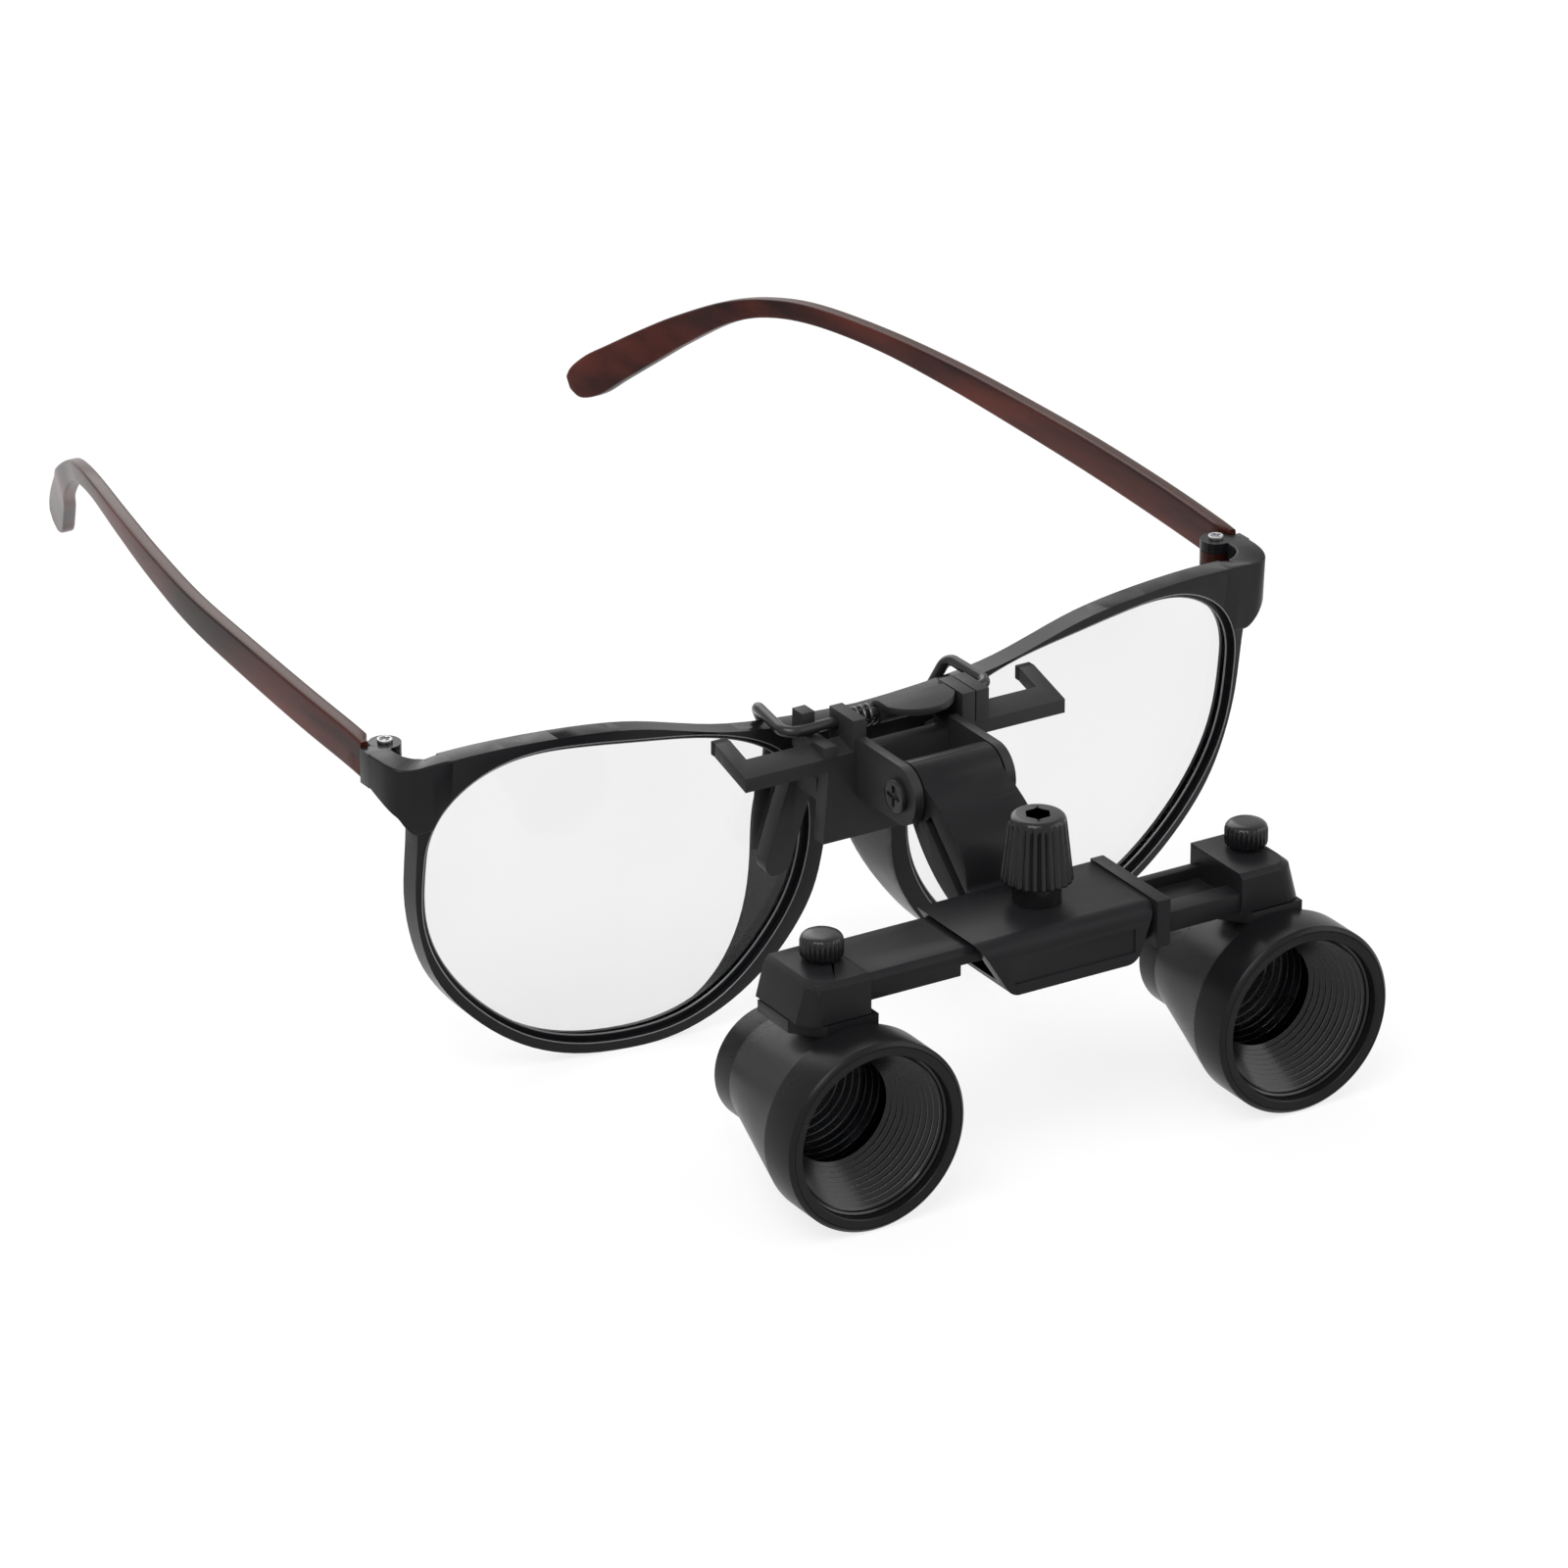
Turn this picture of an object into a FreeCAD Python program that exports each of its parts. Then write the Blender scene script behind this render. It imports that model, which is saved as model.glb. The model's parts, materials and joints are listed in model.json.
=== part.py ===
import FreeCAD, Part
import math
import os

import Sketcher

# Surgical loupes on a spectacle frame, in millimetres.
# Pieces are drawn from the temple hinge line: X to the right seen from the front, the front towards -Y, Z up.
# Every piece is then placed so that the base of the rims is at height zero and the part is centred on the
# origin.

SIZES = {
    # spectacle frame
    "front_half": 68.3,
    "hinge_inset": 2.3,
    "rim_drop": 50.3,
    "rest_height": 50.3,
    "centre_back": 32.0,
    "front_reach": 15.7,
    "front_curve": 339.0,
    "front_tilt": 8.0,
    "front_depth": 3.2,
    "front_margin": 30.0,
    "band_lip": 0.7,
    "band_step": 0.9,
    "lens_setback": 1.3,
    "lens_thickness": 1.3,
    "lens_groove": 0.6,
    "lens_play": 0.04,
    "endpiece_flare": 1.6,
    "endpiece_inset": 1.9,
    "endpiece_height": 4.9,
    "endpiece_top": 0.0,
    "joint_gap": 0.15,
    "lug_radius": 2.2,
    "lug_height": 1.5,
    "lug_play": 0.1,
    "swing_room": 0.3,
    "hinge_shaft": 0.7,
    "hinge_head": 1.05,
    "hinge_head_height": 0.5,
    "driver_slot": 0.3,
    "driver_reach": 0.75,
    "driver_depth": 0.3,
    "shaft_play": 0.05,
    "pad_reach": 24.0,
    # temples
    "temple_length": 145.0,
    "temple_height": 4.9,
    "temple_width": 2.1,
    "temple_round": 0.5,
    "temple_lead": 0.2,
    # clip
    "clip_front": 24.5,
    "clip_back": 22.0,
    "clip_top": 5.7,
    "clip_bottom": 18.1,
    "clip_half_top": 12.1,
    "clip_half_bottom": 13.1,
    "cheek_inner": 6.5,
    "cheek_outer": 7.9,
    "boss_radius": 4.2,
    "flip_forward": 35.0,
    "flip_drop": 8.0,
    "flip_shaft": 1.5,
    "flip_head": 2.3,
    "flip_head_height": 0.9,
    "nut_across": 4.2,
    "nut_height": 1.0,
    "bar_end": 25.2,
    "bar_back": 20.9,
    "bar_height": 2.0,
    "hook_width": 2.3,
    "hook_back": 16.7,
    "hook_rise": 2.2,
    "hook_pad": 1.4,
    "leg_width": 4.0,
    "leg_depth": 2.6,
    "leg_top_x": 11.0,
    "leg_foot_x": 14.6,
    "leg_top": 11.0,
    "leg_foot": 24.0,
    "leg_front": 17.2,
    "leg_lean": 1.5,
    "leg_root": 1.6,
    "wire_radius": 0.8,
    "wire_forward": 20.0,
    "wire_drop": 3.0,
    "wire_reach": 16.2,
    "wire_bend": 1.9,
    "wire_over_x": 15.2,
    "wire_over": 10.6,
    "wire_over_drop": 2.4,
    "wire_foot_x": 12.4,
    "wire_knee_y": 9.5,
    "wire_knee": 8.0,
    "wire_foot_y": 7.3,
    "wire_foot": 25.0,
    "sleeve_radius": 1.5,
    "sleeve_length": 12.0,
    "ear_width": 2.0,
    "ear_half_depth": 1.6,
    "ear_top": 1.2,
    "ear_outer": 12.0,
    "ear_left": 7.4,
    "ear_right": 9.8,
    "ear_behind": 16.4,
    "tab_left": 2.0,
    "tab_right": 8.6,
    "tab_top": 1.2,
    "tab_thickness": 1.0,
    "tab_depth": 6.0,
    "roll_radius": 1.6,
    "spring_wire": 0.25,
    "spring_coil": 1.3,
    "spring_pitch": 1.0,
    "spring_start": 5.6,
    "spring_leg": 2.6,
    # flip arm
    "arm_half": 6.2,
    "arm_groove": 1.0,
    "arm_groove_width": 1.8,
    # slide housing
    "housing_left": 14.8,
    "housing_right": 12.6,
    "cap_right": 14.8,
    "cap_lip": 0.3,
    "housing_back": 50.5,
    "housing_front": 66.0,
    "housing_top": 16.5,
    "housing_bottom": 24.5,
    "housing_foot_half": 9.8,
    "housing_round": 2.2,
    "panel_inset": 1.6,
    "panel_depth": 0.3,
    "slide_play": 0.15,
    "slide_back": 52.3,
    "slide_front": 63.8,
    "upper_top": 17.2,
    "upper_bottom": 19.3,
    "upper_skirt": 20.8,
    "lower_bottom": 22.5,
    "lower_floor": 21.2,
    "lower_rail": 19.6,
    "rail_back": 1.5,
    "rail_front": 3.4,
    "slide_end": 6.0,
    "slot_end": 8.2,
    "travel_in": 5.0,
    "arm_chamfer": 0.8,
    # rack and pinion
    "gear_back": 56.6,
    "gear_module": 0.4,
    "gear_top": 17.1,
    "gear_bottom": 22.4,
    "gear_pivot": 1.3,
    "gear_pivot_bottom": 23.8,
    "gear_journal": 2.95,
    "gear_backlash": 0.16,
    "spindle_radius": 1.6,
    "spindle_top": 7.0,
    # central knob
    "knob_top": 4.2,
    "knob_bottom": 13.6,
    "knob_top_radius": 3.85,
    "knob_bottom_radius": 4.88,
    "knob_neck": 3.3,
    "knob_neck_bottom": 16.2,
    "flute_depth": 0.4,
    "screw_head": 2.1,
    "screw_sink": 0.15,
    "hex_across": 2.7,
    "hex_depth": 1.5,
    # end blocks
    "block_inner": 28.9,
    "block_outer": 39.0,
    "block_back": 51.8,
    "block_front": 64.1,
    "block_top": 16.9,
    "block_bottom": 23.3,
    "block_chamfer": 1.2,
    "block_flare": 1.4,
    "block_wall": 0.8,
    "block_shift": 1.4,
    "swivel_x": 33.2,
    "swivel_back": 56.5,
    "block_bore": 1.6,
    "lock_radius": 2.95,
    "lock_top": 13.2,
    "lock_bottom": 16.4,
    "lock_neck": 2.3,
    "lock_neck_bottom": 16.8,
    "lock_stem": 1.55,
    "lock_stem_bottom": 24.2,
    "knurl_depth": 0.22,
    # barrels
    "barrel_x": 33.4,
    "barrel_drop": 36.9,
    "barrel_back": 43.2,
    "eye_radius": 8.4,
    "eye_length": 4.3,
    "cone_length": 16.9,
    "barrel_radius": 13.4,
    "barrel_length": 27.7,
    "barrel_edge": 0.5,
    "ring_radius": 12.7,
    "ring_inner": 11.4,
    "ring_depth": 1.4,
    "tube_radius": 12.1,
    "tube_start": 19.0,
    "objective_radius": 9.8,
    "objective_start": 14.0,
    "objective_thickness": 3.2,
    "objective_bulge": 1.0,
    "stop_radius": 8.8,
    "cone_stop": 6.0,
    "cone_start": 5.0,
    "eye_seat": 7.4,
    "eye_seat_depth": 3.0,
    "eye_ring_depth": 1.3,
    "eye_ring_inner": 5.9,
    "eye_bulge": 0.4,
    "baffle_front": 11.1,
    "baffle_rear": 7.6,
    "baffle_land": 0.8,
    "seat_play": 0.04,
    "foot_half": 5.8,
    "foot_nose_half": 4.0,
    "foot_nose": 64.0,
    "foot_shoulder": 60.0,
    "foot_rear": 52.5,
    "foot_top": 23.4,
    "foot_plate": 1.3,
    "foot_web": 6.0,
    "foot_web_half": 3.0,
    "overrun": 1.0,
    "touch": 0.01,
}

PINION_TEETH = 12
KNOB_FLUTES = 24
LOCK_KNURLS = 26
SPRING_TURNS = 3
OPENING_STEPS = 36
FLANK_STEPS = 4
PRESSURE_ANGLE = math.radians(20)

# Outlines seen from the front: X as shares of front_half, Z as shares of rim_drop.
top_edge_shares = (
    (0.000, -0.103), (0.176, -0.091), (0.327, -0.066), (0.507, -0.006), (0.634, 0.012), (0.745, 0.014),
    (0.849, 0.007), (0.920, -0.004), (0.965, -0.010), (1.000, -0.008))
endpiece_foot_shares = ((1.000, -0.117), (0.961, -0.200))
rim_edge_shares = (
    (0.961, -0.200), (0.959, -0.318), (0.956, -0.417), (0.944, -0.517), (0.905, -0.666), (0.835, -0.793),
    (0.691, -0.940), (0.592, -0.986), (0.493, -1.000), (0.408, -0.996), (0.266, -0.924), (0.198, -0.851),
    (0.130, -0.732), (0.098, -0.640), (0.080, -0.503), (0.060, -0.360), (0.000, -0.290))
opening_shares = (
    (0.934, -0.298), (0.934, -0.398), (0.924, -0.507), (0.880, -0.648), (0.791, -0.793), (0.691, -0.891),
    (0.592, -0.940), (0.493, -0.956), (0.408, -0.950), (0.337, -0.922), (0.266, -0.859), (0.198, -0.755),
    (0.149, -0.636), (0.126, -0.497), (0.135, -0.338), (0.190, -0.189), (0.286, -0.108), (0.400, -0.068),
    (0.501, -0.050), (0.647, -0.030), (0.757, -0.036), (0.852, -0.091), (0.914, -0.187))

# The back edge of the nose pads from the side: Y as shares of front_reach, Z as shares of rim_drop.
pad_edge_shares = (
    (-0.700, -0.250), (-0.360, -0.310), (0.000, -0.400), (0.100, -0.500), (0.030, -0.600), (-0.160, -0.730),
    (-0.270, -0.820), (-0.330, -0.900), (-0.330, -1.020))

# The flip arm from the side: Y as shares of housing_back, Z as shares of housing_top.
flip_arm_front_shares = ((-0.693, -0.230), (-0.760, -0.350), (-0.888, -0.548), (-0.975, -1.000))
flip_arm_back_shares = ((-1.000, -1.305), (-0.805, -1.051), (-0.710, -0.739))
flip_groove_shares = ((-0.785, -0.610), (-0.967, -1.115))

# The temple's upper edge: X as a share of the half width at the joint, Y and Z as shares of temple_length,
# and the height there as a share of temple_height.
temple_shares = (
    (1.000, 0.001, 0.0007, 1.00), (0.997, 0.166, 0.016, 0.94), (0.975, 0.332, 0.029, 0.86),
    (0.924, 0.497, 0.035, 0.74), (0.841, 0.658, 0.027, 0.78), (0.733, 0.803, -0.033, 0.95),
    (0.640, 0.895, -0.099, 1.18), (0.611, 0.920, -0.124, 1.05), (0.602, 0.929, -0.140, 0.45))

temple_start_way = (0.0, 1.0, 0.08)
temple_end_way = (-0.4, 0.7, -0.6)
temple_tip_share = 0.6

# One knurl: where its corners stand as shares of the spacing, and how far in they go as shares of the depth.
knurl_shares = ((0.0, 0.0), (0.55, 0.0), (0.70, 1.0), (0.85, 1.0))

# Gear teeth as shares of the module: the pinion's height and root, the rack's shorter teeth, and its web.
pinion_tip_share = 1.0
pinion_root_share = 1.25
rack_crest_share = 0.7
rack_root_share = 1.3
rack_web_share = 2.0

HINGE_X = "front_half - hinge_inset"
ARM_END_LEFT = "block_outer + block_shift - block_flare - block_wall"
ARM_END_RIGHT = "block_outer - block_shift - block_flare - block_wall"

doc = FreeCAD.newDocument("surgical_loupes")
sheet = doc.addObject("Spreadsheet::Sheet", "Sizes")
for row, (alias, size) in enumerate(SIZES.items(), start=1):
    sheet.set("A%d" % row, alias)
    sheet.set("B%d" % row, str(size))
    sheet.setAlias("B%d" % row, alias)
doc.recompute()
sub_parts = {}


def number(words):
    """Add up a sum of named sizes, such as "rim_drop - lug_height/2"."""
    total = 0.0
    sign = 1.0
    for word in words.split():
        if word in "+-":
            sign = 1.0 if word == "+" else -1.0
            continue
        alias, _, share = word.partition("/")
        size = 0.0 if alias == "0" else float(sheet.get(alias))
        total += sign * size / (float(share) if share else 1.0)
    return total


def cells(words):
    """The same sum as an expression on the sheet's cells."""
    return " ".join(word if word in "+-" or word.startswith("0") else "Sizes." + word for word in words.split())


def seat(piece, x="0", y="0", z="0", rotation=None):
    """Place a sub-part from the hinge line into the part's own frame."""
    if rotation is not None:
        piece.Placement = FreeCAD.Placement(FreeCAD.Vector(), rotation)
    piece.setExpression("Placement.Base.x", cells(x))
    piece.setExpression("Placement.Base.y", cells(y + " - centre_back"))
    piece.setExpression("Placement.Base.z", cells(z + " + rest_height"))


def finish(piece, label, **place):
    piece.Label = label
    seat(piece, **place)
    sub_parts[label] = piece
    return piece


def put(piece, x, y, z):
    """Place a primitive inside its sub-part."""
    for axis, words in (("x", x), ("y", y), ("z", z)):
        piece.setExpression("Placement.Base." + axis, cells(words))


def block(name, x, y, z):
    """A box between two sums of sizes on each axis."""
    box = doc.addObject("Part::Box", name)
    for side, (low, high) in (("Length", x), ("Width", y), ("Height", z)):
        box.setExpression(side, "(%s) - (%s)" % (cells(high), cells(low)))
    put(box, x[0], y[0], z[0])
    return box


def rod(name, radius, height, x, y, z, rotation=None):
    """A cylinder that starts at a point and runs along Z, or along the rotated axis."""
    cylinder = doc.addObject("Part::Cylinder", name)
    cylinder.setExpression("Radius", cells(radius))
    cylinder.setExpression("Height", cells(height))
    if rotation is not None:
        cylinder.Placement = FreeCAD.Placement(FreeCAD.Vector(), rotation)
    put(cylinder, x, y, z)
    return cylinder


def joined(name, pieces):
    fuse = doc.addObject("Part::MultiFuse", name)
    fuse.Shapes = pieces
    fuse.Refine = True
    return fuse


def less(name, base, tools):
    tool = tools[0] if len(tools) == 1 else joined(name + "_tools", tools)
    cut = doc.addObject("Part::Cut", name)
    cut.Base = base
    cut.Tool = tool
    return cut


along_x = FreeCAD.Rotation(FreeCAD.Vector(0, 1, 0), 90)
along_y = FreeCAD.Rotation(FreeCAD.Vector(1, 0, 0), -90)
along_minus_y = FreeCAD.Rotation(FreeCAD.Vector(1, 0, 0), 90)


def origin_plane(body, role):
    return next(plane for plane in body.Origin.OriginFeatures if plane.Role == role)


def sketch_on(body, name, role, offset="0"):
    sketch = body.newObject("Sketcher::SketchObject", name)
    sketch.AttachmentSupport = [(origin_plane(body, role), "")]
    sketch.MapMode = "FlatFace"
    if offset != "0":
        sketch.setExpression("AttachmentOffset.Base.z", cells(offset))
    return sketch


def draw(sketch, points):
    """Draw a closed outline whose corners are bound to the sheet."""
    corners = [FreeCAD.Vector(number(x), number(y), 0) for x, y in points]
    for index, corner in enumerate(corners):
        following = corners[(index + 1) % len(corners)]
        sketch.addGeometry(Part.LineSegment(corner, following))
    for index, (x, y) in enumerate(points):
        following = (index + 1) % len(points)
        sketch.addConstraint(Sketcher.Constraint("Coincident", index, 2, following, 1))
        for kind, axis, words in (("DistanceX", -2, x), ("DistanceY", -1, y)):
            if words == "0":
                sketch.addConstraint(Sketcher.Constraint("PointOnObject", index, 1, axis))
                continue
            place = sketch.addConstraint(Sketcher.Constraint(kind, -1, 1, index, 1, number(words)))
            sketch.setExpression("Constraints[%d]" % place, cells(words))


def padded(body, name, role, points, length, offset="0", backwards=False):
    sketch = sketch_on(body, name + "_outline", role, offset)
    draw(sketch, points)
    pad = body.newObject("PartDesign::Pad", name)
    pad.Profile = sketch
    pad.setExpression("Length", cells(length))
    pad.Reversed = backwards
    return pad


def pocketed(body, name, role, points, depth, offset, backwards=False):
    """Cut a pocket, and check that it takes something away."""
    doc.recompute()
    before = body.Shape.Volume
    sketch = sketch_on(body, name + "_outline", role, offset)
    draw(sketch, points)
    pocket = body.newObject("PartDesign::Pocket", name)
    pocket.Profile = sketch
    pocket.setExpression("Length", cells(depth))
    pocket.Reversed = backwards
    doc.recompute()
    if not body.Shape.Volume < before:
        raise ValueError(name + " takes nothing away")
    return pocket


def turned(label, points):
    """A body turned about its own Z axis from points of radius and height."""
    body = doc.addObject("PartDesign::Body", label)
    sketch = sketch_on(body, label + "_profile", "XZ_Plane")
    draw(sketch, points)
    turn = body.newObject("PartDesign::Revolution", label + "_turned")
    turn.Profile = sketch
    turn.ReferenceAxis = (sketch, ["V_Axis"])
    turn.Angle = 360
    return body


def edges_where(feature, test):
    doc.recompute()
    return ["Edge%d" % (index + 1) for index, edge in enumerate(feature.Shape.Edges) if test(edge)]


def dressed(body, kind, name, feature, size, test):
    """A fillet or chamfer on the edges that a test picks."""
    names = edges_where(feature, test)
    dress = body.newObject("PartDesign::" + kind, name)
    dress.Base = (feature, names)
    dress.setExpression("Radius" if kind == "Fillet" else "Size", cells(size))
    return dress


def plain(label, shape, **place):
    """A piece whose shape comes from Part's own functions."""
    piece = doc.addObject("Part::Feature", label)
    piece.Shape = shape
    return finish(piece, label, **place)


def mirrored(shape, side):
    """The right-hand shape, or its mirror image for the left."""
    return shape if side > 0 else shape.mirror(FreeCAD.Vector(), FreeCAD.Vector(1, 0, 0))


def box_between(low, high):
    return Part.makeBox(high[0] - low[0], high[1] - low[1], high[2] - low[2], FreeCAD.Vector(*low))


def upright(radius, low, high, x, y):
    """A cylinder on the vertical line through X and Y, between two heights."""
    return Part.makeCylinder(radius, high - low, FreeCAD.Vector(x, y, low))


def side_plate(points, start, length):
    """An outline of Y and Z points extruded along X."""
    corners = [FreeCAD.Vector(start, y, z) for y, z in points]
    return Part.Face(Part.makePolygon(corners + corners[:1])).extrude(FreeCAD.Vector(length, 0, 0))


def curve(points, closed=False):
    spline = Part.BSplineCurve()
    spline.interpolate(Points=points, PeriodicFlag=closed)
    return spline.toShape()


def front_point(x_share, z_share, side=1.0):
    x = side * x_share * number("front_half")
    return FreeCAD.Vector(x, -number("front_margin"), z_share * number("rim_drop"))


def front_slab(near, far):
    """The curved, tilted layer between two depths behind the front surface."""
    radius = number("front_curve")
    tilt = math.radians(number("front_tilt"))
    span = 2 * number("front_half")
    reach = number("front_margin")
    axis = FreeCAD.Vector(0, -math.sin(tilt), math.cos(tilt))
    start = FreeCAD.Vector(0, radius / math.cos(tilt) - number("front_reach"), 0) - axis * span
    outer = Part.makeCylinder(radius - near, 2 * span, start, axis)
    inner = Part.makeCylinder(radius - far, 2 * span, start, axis)
    return outer.cut(inner).common(box_between((-span, -reach, -span), (span, reach, span)))


def front_outline():
    right = [front_point(*pair) for pair in top_edge_shares]
    foot = [front_point(*pair) for pair in endpiece_foot_shares]
    rim = [front_point(*pair) for pair in rim_edge_shares]
    mirror = [[FreeCAD.Vector(-point.x, point.y, point.z) for point in row] for row in (right, foot, rim)]
    pieces = []
    for sequence in ((right, foot, rim), mirror):
        pieces.append(curve(sequence[0]))
        pieces.append(Part.makeLine(sequence[0][-1], sequence[1][0]))
        pieces.append(Part.makeLine(sequence[1][0], sequence[1][1]))
        pieces.append(curve(sequence[2]))
    return Part.Wire(Part.__sortEdges__(pieces))


def opening_wire(side, grow):
    """The lens opening, or a line a little outside it."""
    spline = Part.BSplineCurve()
    spline.interpolate(Points=[front_point(x, z, side) for x, z in opening_shares], PeriodicFlag=True)
    first, last = spline.FirstParameter, spline.LastParameter
    points = []
    for step in range(OPENING_STEPS):
        parameter = first + (last - first) * step / OPENING_STEPS
        outward = spline.tangent(parameter)[0].cross(FreeCAD.Vector(0, side, 0)).normalize()
        points.append(spline.value(parameter) + outward * grow)
    return Part.Wire(curve(points, closed=True))


def through(wire):
    """Everything behind an outline."""
    return Part.Face(wire).extrude(FreeCAD.Vector(0, 2 * number("front_margin"), 0))


def nose_pads(side):
    """The saddle pad that a rim carries backwards on its nasal side, before the lens opening is cut."""
    depth = number("front_depth")
    reach = number("pad_reach")
    start = 0 if side > 0 else -reach
    outward, down = number("front_reach"), number("rim_drop")
    back = [FreeCAD.Vector(start, y * outward, z * down) for y, z in pad_edge_shares]
    lean = math.tan(math.radians(number("front_tilt")))
    inside = depth / 2 - outward
    top = FreeCAD.Vector(start, inside - lean * back[0].z, back[0].z)
    low = FreeCAD.Vector(start, inside - lean * back[-1].z, back[-1].z)
    edges = [curve(back), Part.makeLine(back[-1], low), Part.makeLine(low, top), Part.makeLine(top, back[0])]
    skirt = Part.Face(Part.Wire(edges)).extrude(FreeCAD.Vector(reach, 0, 0))
    return skirt.common(through(front_outline()))


def endpiece(side):
    """The corner that wraps back to the temple joint, with its two hinge lugs."""
    top = number("endpiece_top")
    height = number("endpiece_height")
    low = top - height
    inner = number("front_half - endpiece_inset")
    outer = number("front_half + endpiece_flare")
    hinge = number(HINGE_X)
    back = -number("joint_gap")
    slot = -number("lug_radius + swing_room")
    front = number("front_half") ** 2 / (2 * number("front_curve")) - number("front_reach - front_depth/2")
    wall = Part.makeBox(outer - inner, slot - front, height, FreeCAD.Vector(inner, front, low))
    skin_start = hinge + number("lug_radius + swing_room")
    skin = Part.makeBox(outer - skin_start, back - slot, height, FreeCAD.Vector(skin_start, slot, low))
    solid = wall.fuse(skin)
    near = number("touch")
    upright_edges = [edge for edge in solid.Edges if edge.BoundBox.ZLength > height - near]
    corner = [edge for edge in upright_edges if edge.BoundBox.XMin > outer - near and edge.BoundBox.YMax < slot]
    solid = solid.makeChamfer(number("endpiece_flare"), corner)
    lug = number("lug_height")
    ear = number("lug_radius")
    for z in (top - lug, low):
        ring = Part.makeCylinder(ear, lug, FreeCAD.Vector(hinge, 0, z))
        web = box_between((inner, slot, z), (outer, back, z + lug))
        solid = solid.fuse(ring.fuse(web))
    bore = Part.makeCylinder(number("hinge_shaft + shaft_play"), height, FreeCAD.Vector(hinge, 0, low))
    return mirrored(solid.cut(bore), side)


def frame_front():
    depth = number("front_depth")
    body = through(front_outline()).common(front_slab(0, depth))
    for side in (-1, 1):
        body = body.fuse(endpiece(side)).fuse(nose_pads(side))
    for side in (-1, 1):
        ahead = -number("overrun")
        opening = through(opening_wire(side, 0)).common(front_slab(ahead, depth + number("front_margin")))
        body = body.cut(opening)
        lip = through(opening_wire(side, number("band_lip"))).common(front_slab(ahead, number("band_step")))
        groove = through(opening_wire(side, number("lens_groove")))
        groove = groove.common(front_slab(number("lens_setback"), number("lens_setback + lens_thickness")))
        body = body.cut(lip).cut(groove)
    plain("frame_front", body.removeSplitter())


def lens(label, side):
    near = number("lens_setback + lens_play")
    far = number("lens_setback + lens_thickness - lens_play")
    outline = opening_wire(side, number("lens_groove - lens_play"))
    plain(label, through(outline).common(front_slab(near, far)))


def temple_section(place, along, height, width, corner):
    """An oblong with cut corners across the temple, hung from its upper edge."""
    outward = along.cross(FreeCAD.Vector(0, 0, 1)).normalize()
    up = outward.cross(along).normalize()
    half = width / 2
    cut = min(corner, height / 3, width / 3)
    line = ((half - cut, 0), (half, -cut), (half, cut - height), (half - cut, -height),
            (cut - half, -height), (-half, cut - height), (-half, -cut), (cut - half, 0))
    corners = [place + outward * across + up * rise for across, rise in line]
    return Part.makePolygon(corners + corners[:1])


def temple(label, side):
    """A temple lofted through its sections, with the joint's middle lug."""
    length = number("temple_length")
    tall = number("temple_height")
    half_span = number("front_half + temple_lead")
    places = [FreeCAD.Vector(x * half_span, y * length, z * length) for x, y, z, _ in temple_shares]
    spline = Part.BSplineCurve()
    spline.interpolate(Points=places, InitialTangent=FreeCAD.Vector(*temple_start_way),
                       FinalTangent=FreeCAD.Vector(*temple_end_way))
    sections = []
    for place, shares in zip(places, temple_shares):
        along = FreeCAD.Vector(0, 1, 0)
        if place is not places[0]:
            along = spline.tangent(spline.parameter(place))[0]
        width = number("temple_width") * (temple_tip_share if place is places[-1] else 1)
        sections.append(temple_section(place, along, shares[3] * tall, width, number("temple_round")))
    solid = Part.makeLoft(sections, True, False)
    hinge = number(HINGE_X)
    top = number("endpiece_top - lug_height - lug_play")
    low = number("endpiece_top - endpiece_height + lug_height + lug_play")
    ear = number("lug_radius")
    room = upright(number("lug_radius + swing_room"), -2 * tall, tall, hinge, 0)
    ring = upright(ear, low, top, hinge, 0)
    gap = number("joint_gap")
    web = box_between((hinge, gap, low), (half_span, gap + ear, top))
    bore = upright(number("hinge_shaft + shaft_play"), low, top, hinge, 0)
    plain(label, mirrored(solid.cut(room).fuse(ring.fuse(web)).cut(bore), side))


def cross_outline(half_width, reach):
    a, b = half_width, reach
    left_a, left_b = "0 - " + half_width, "0 - " + reach
    return [(b, a), (a, a), (a, b), (left_a, b), (left_a, a), (left_b, a), (left_b, left_a), (left_a, left_a),
            (left_a, left_b), (a, left_b), (a, left_a), (b, left_a)]


def hinge_screw(label, x):
    body = turned(label, [
        ("0", "0 - endpiece_height"), ("hinge_shaft", "0 - endpiece_height"), ("hinge_shaft", "0"),
        ("hinge_head", "0"), ("hinge_head", "hinge_head_height"), ("0", "hinge_head_height")])
    pocketed(body, label + "_slots", "XY_Plane", cross_outline("driver_slot", "driver_reach"), "driver_depth",
             "hinge_head_height")
    finish(body, label, x=x, z="endpiece_top")


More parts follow.
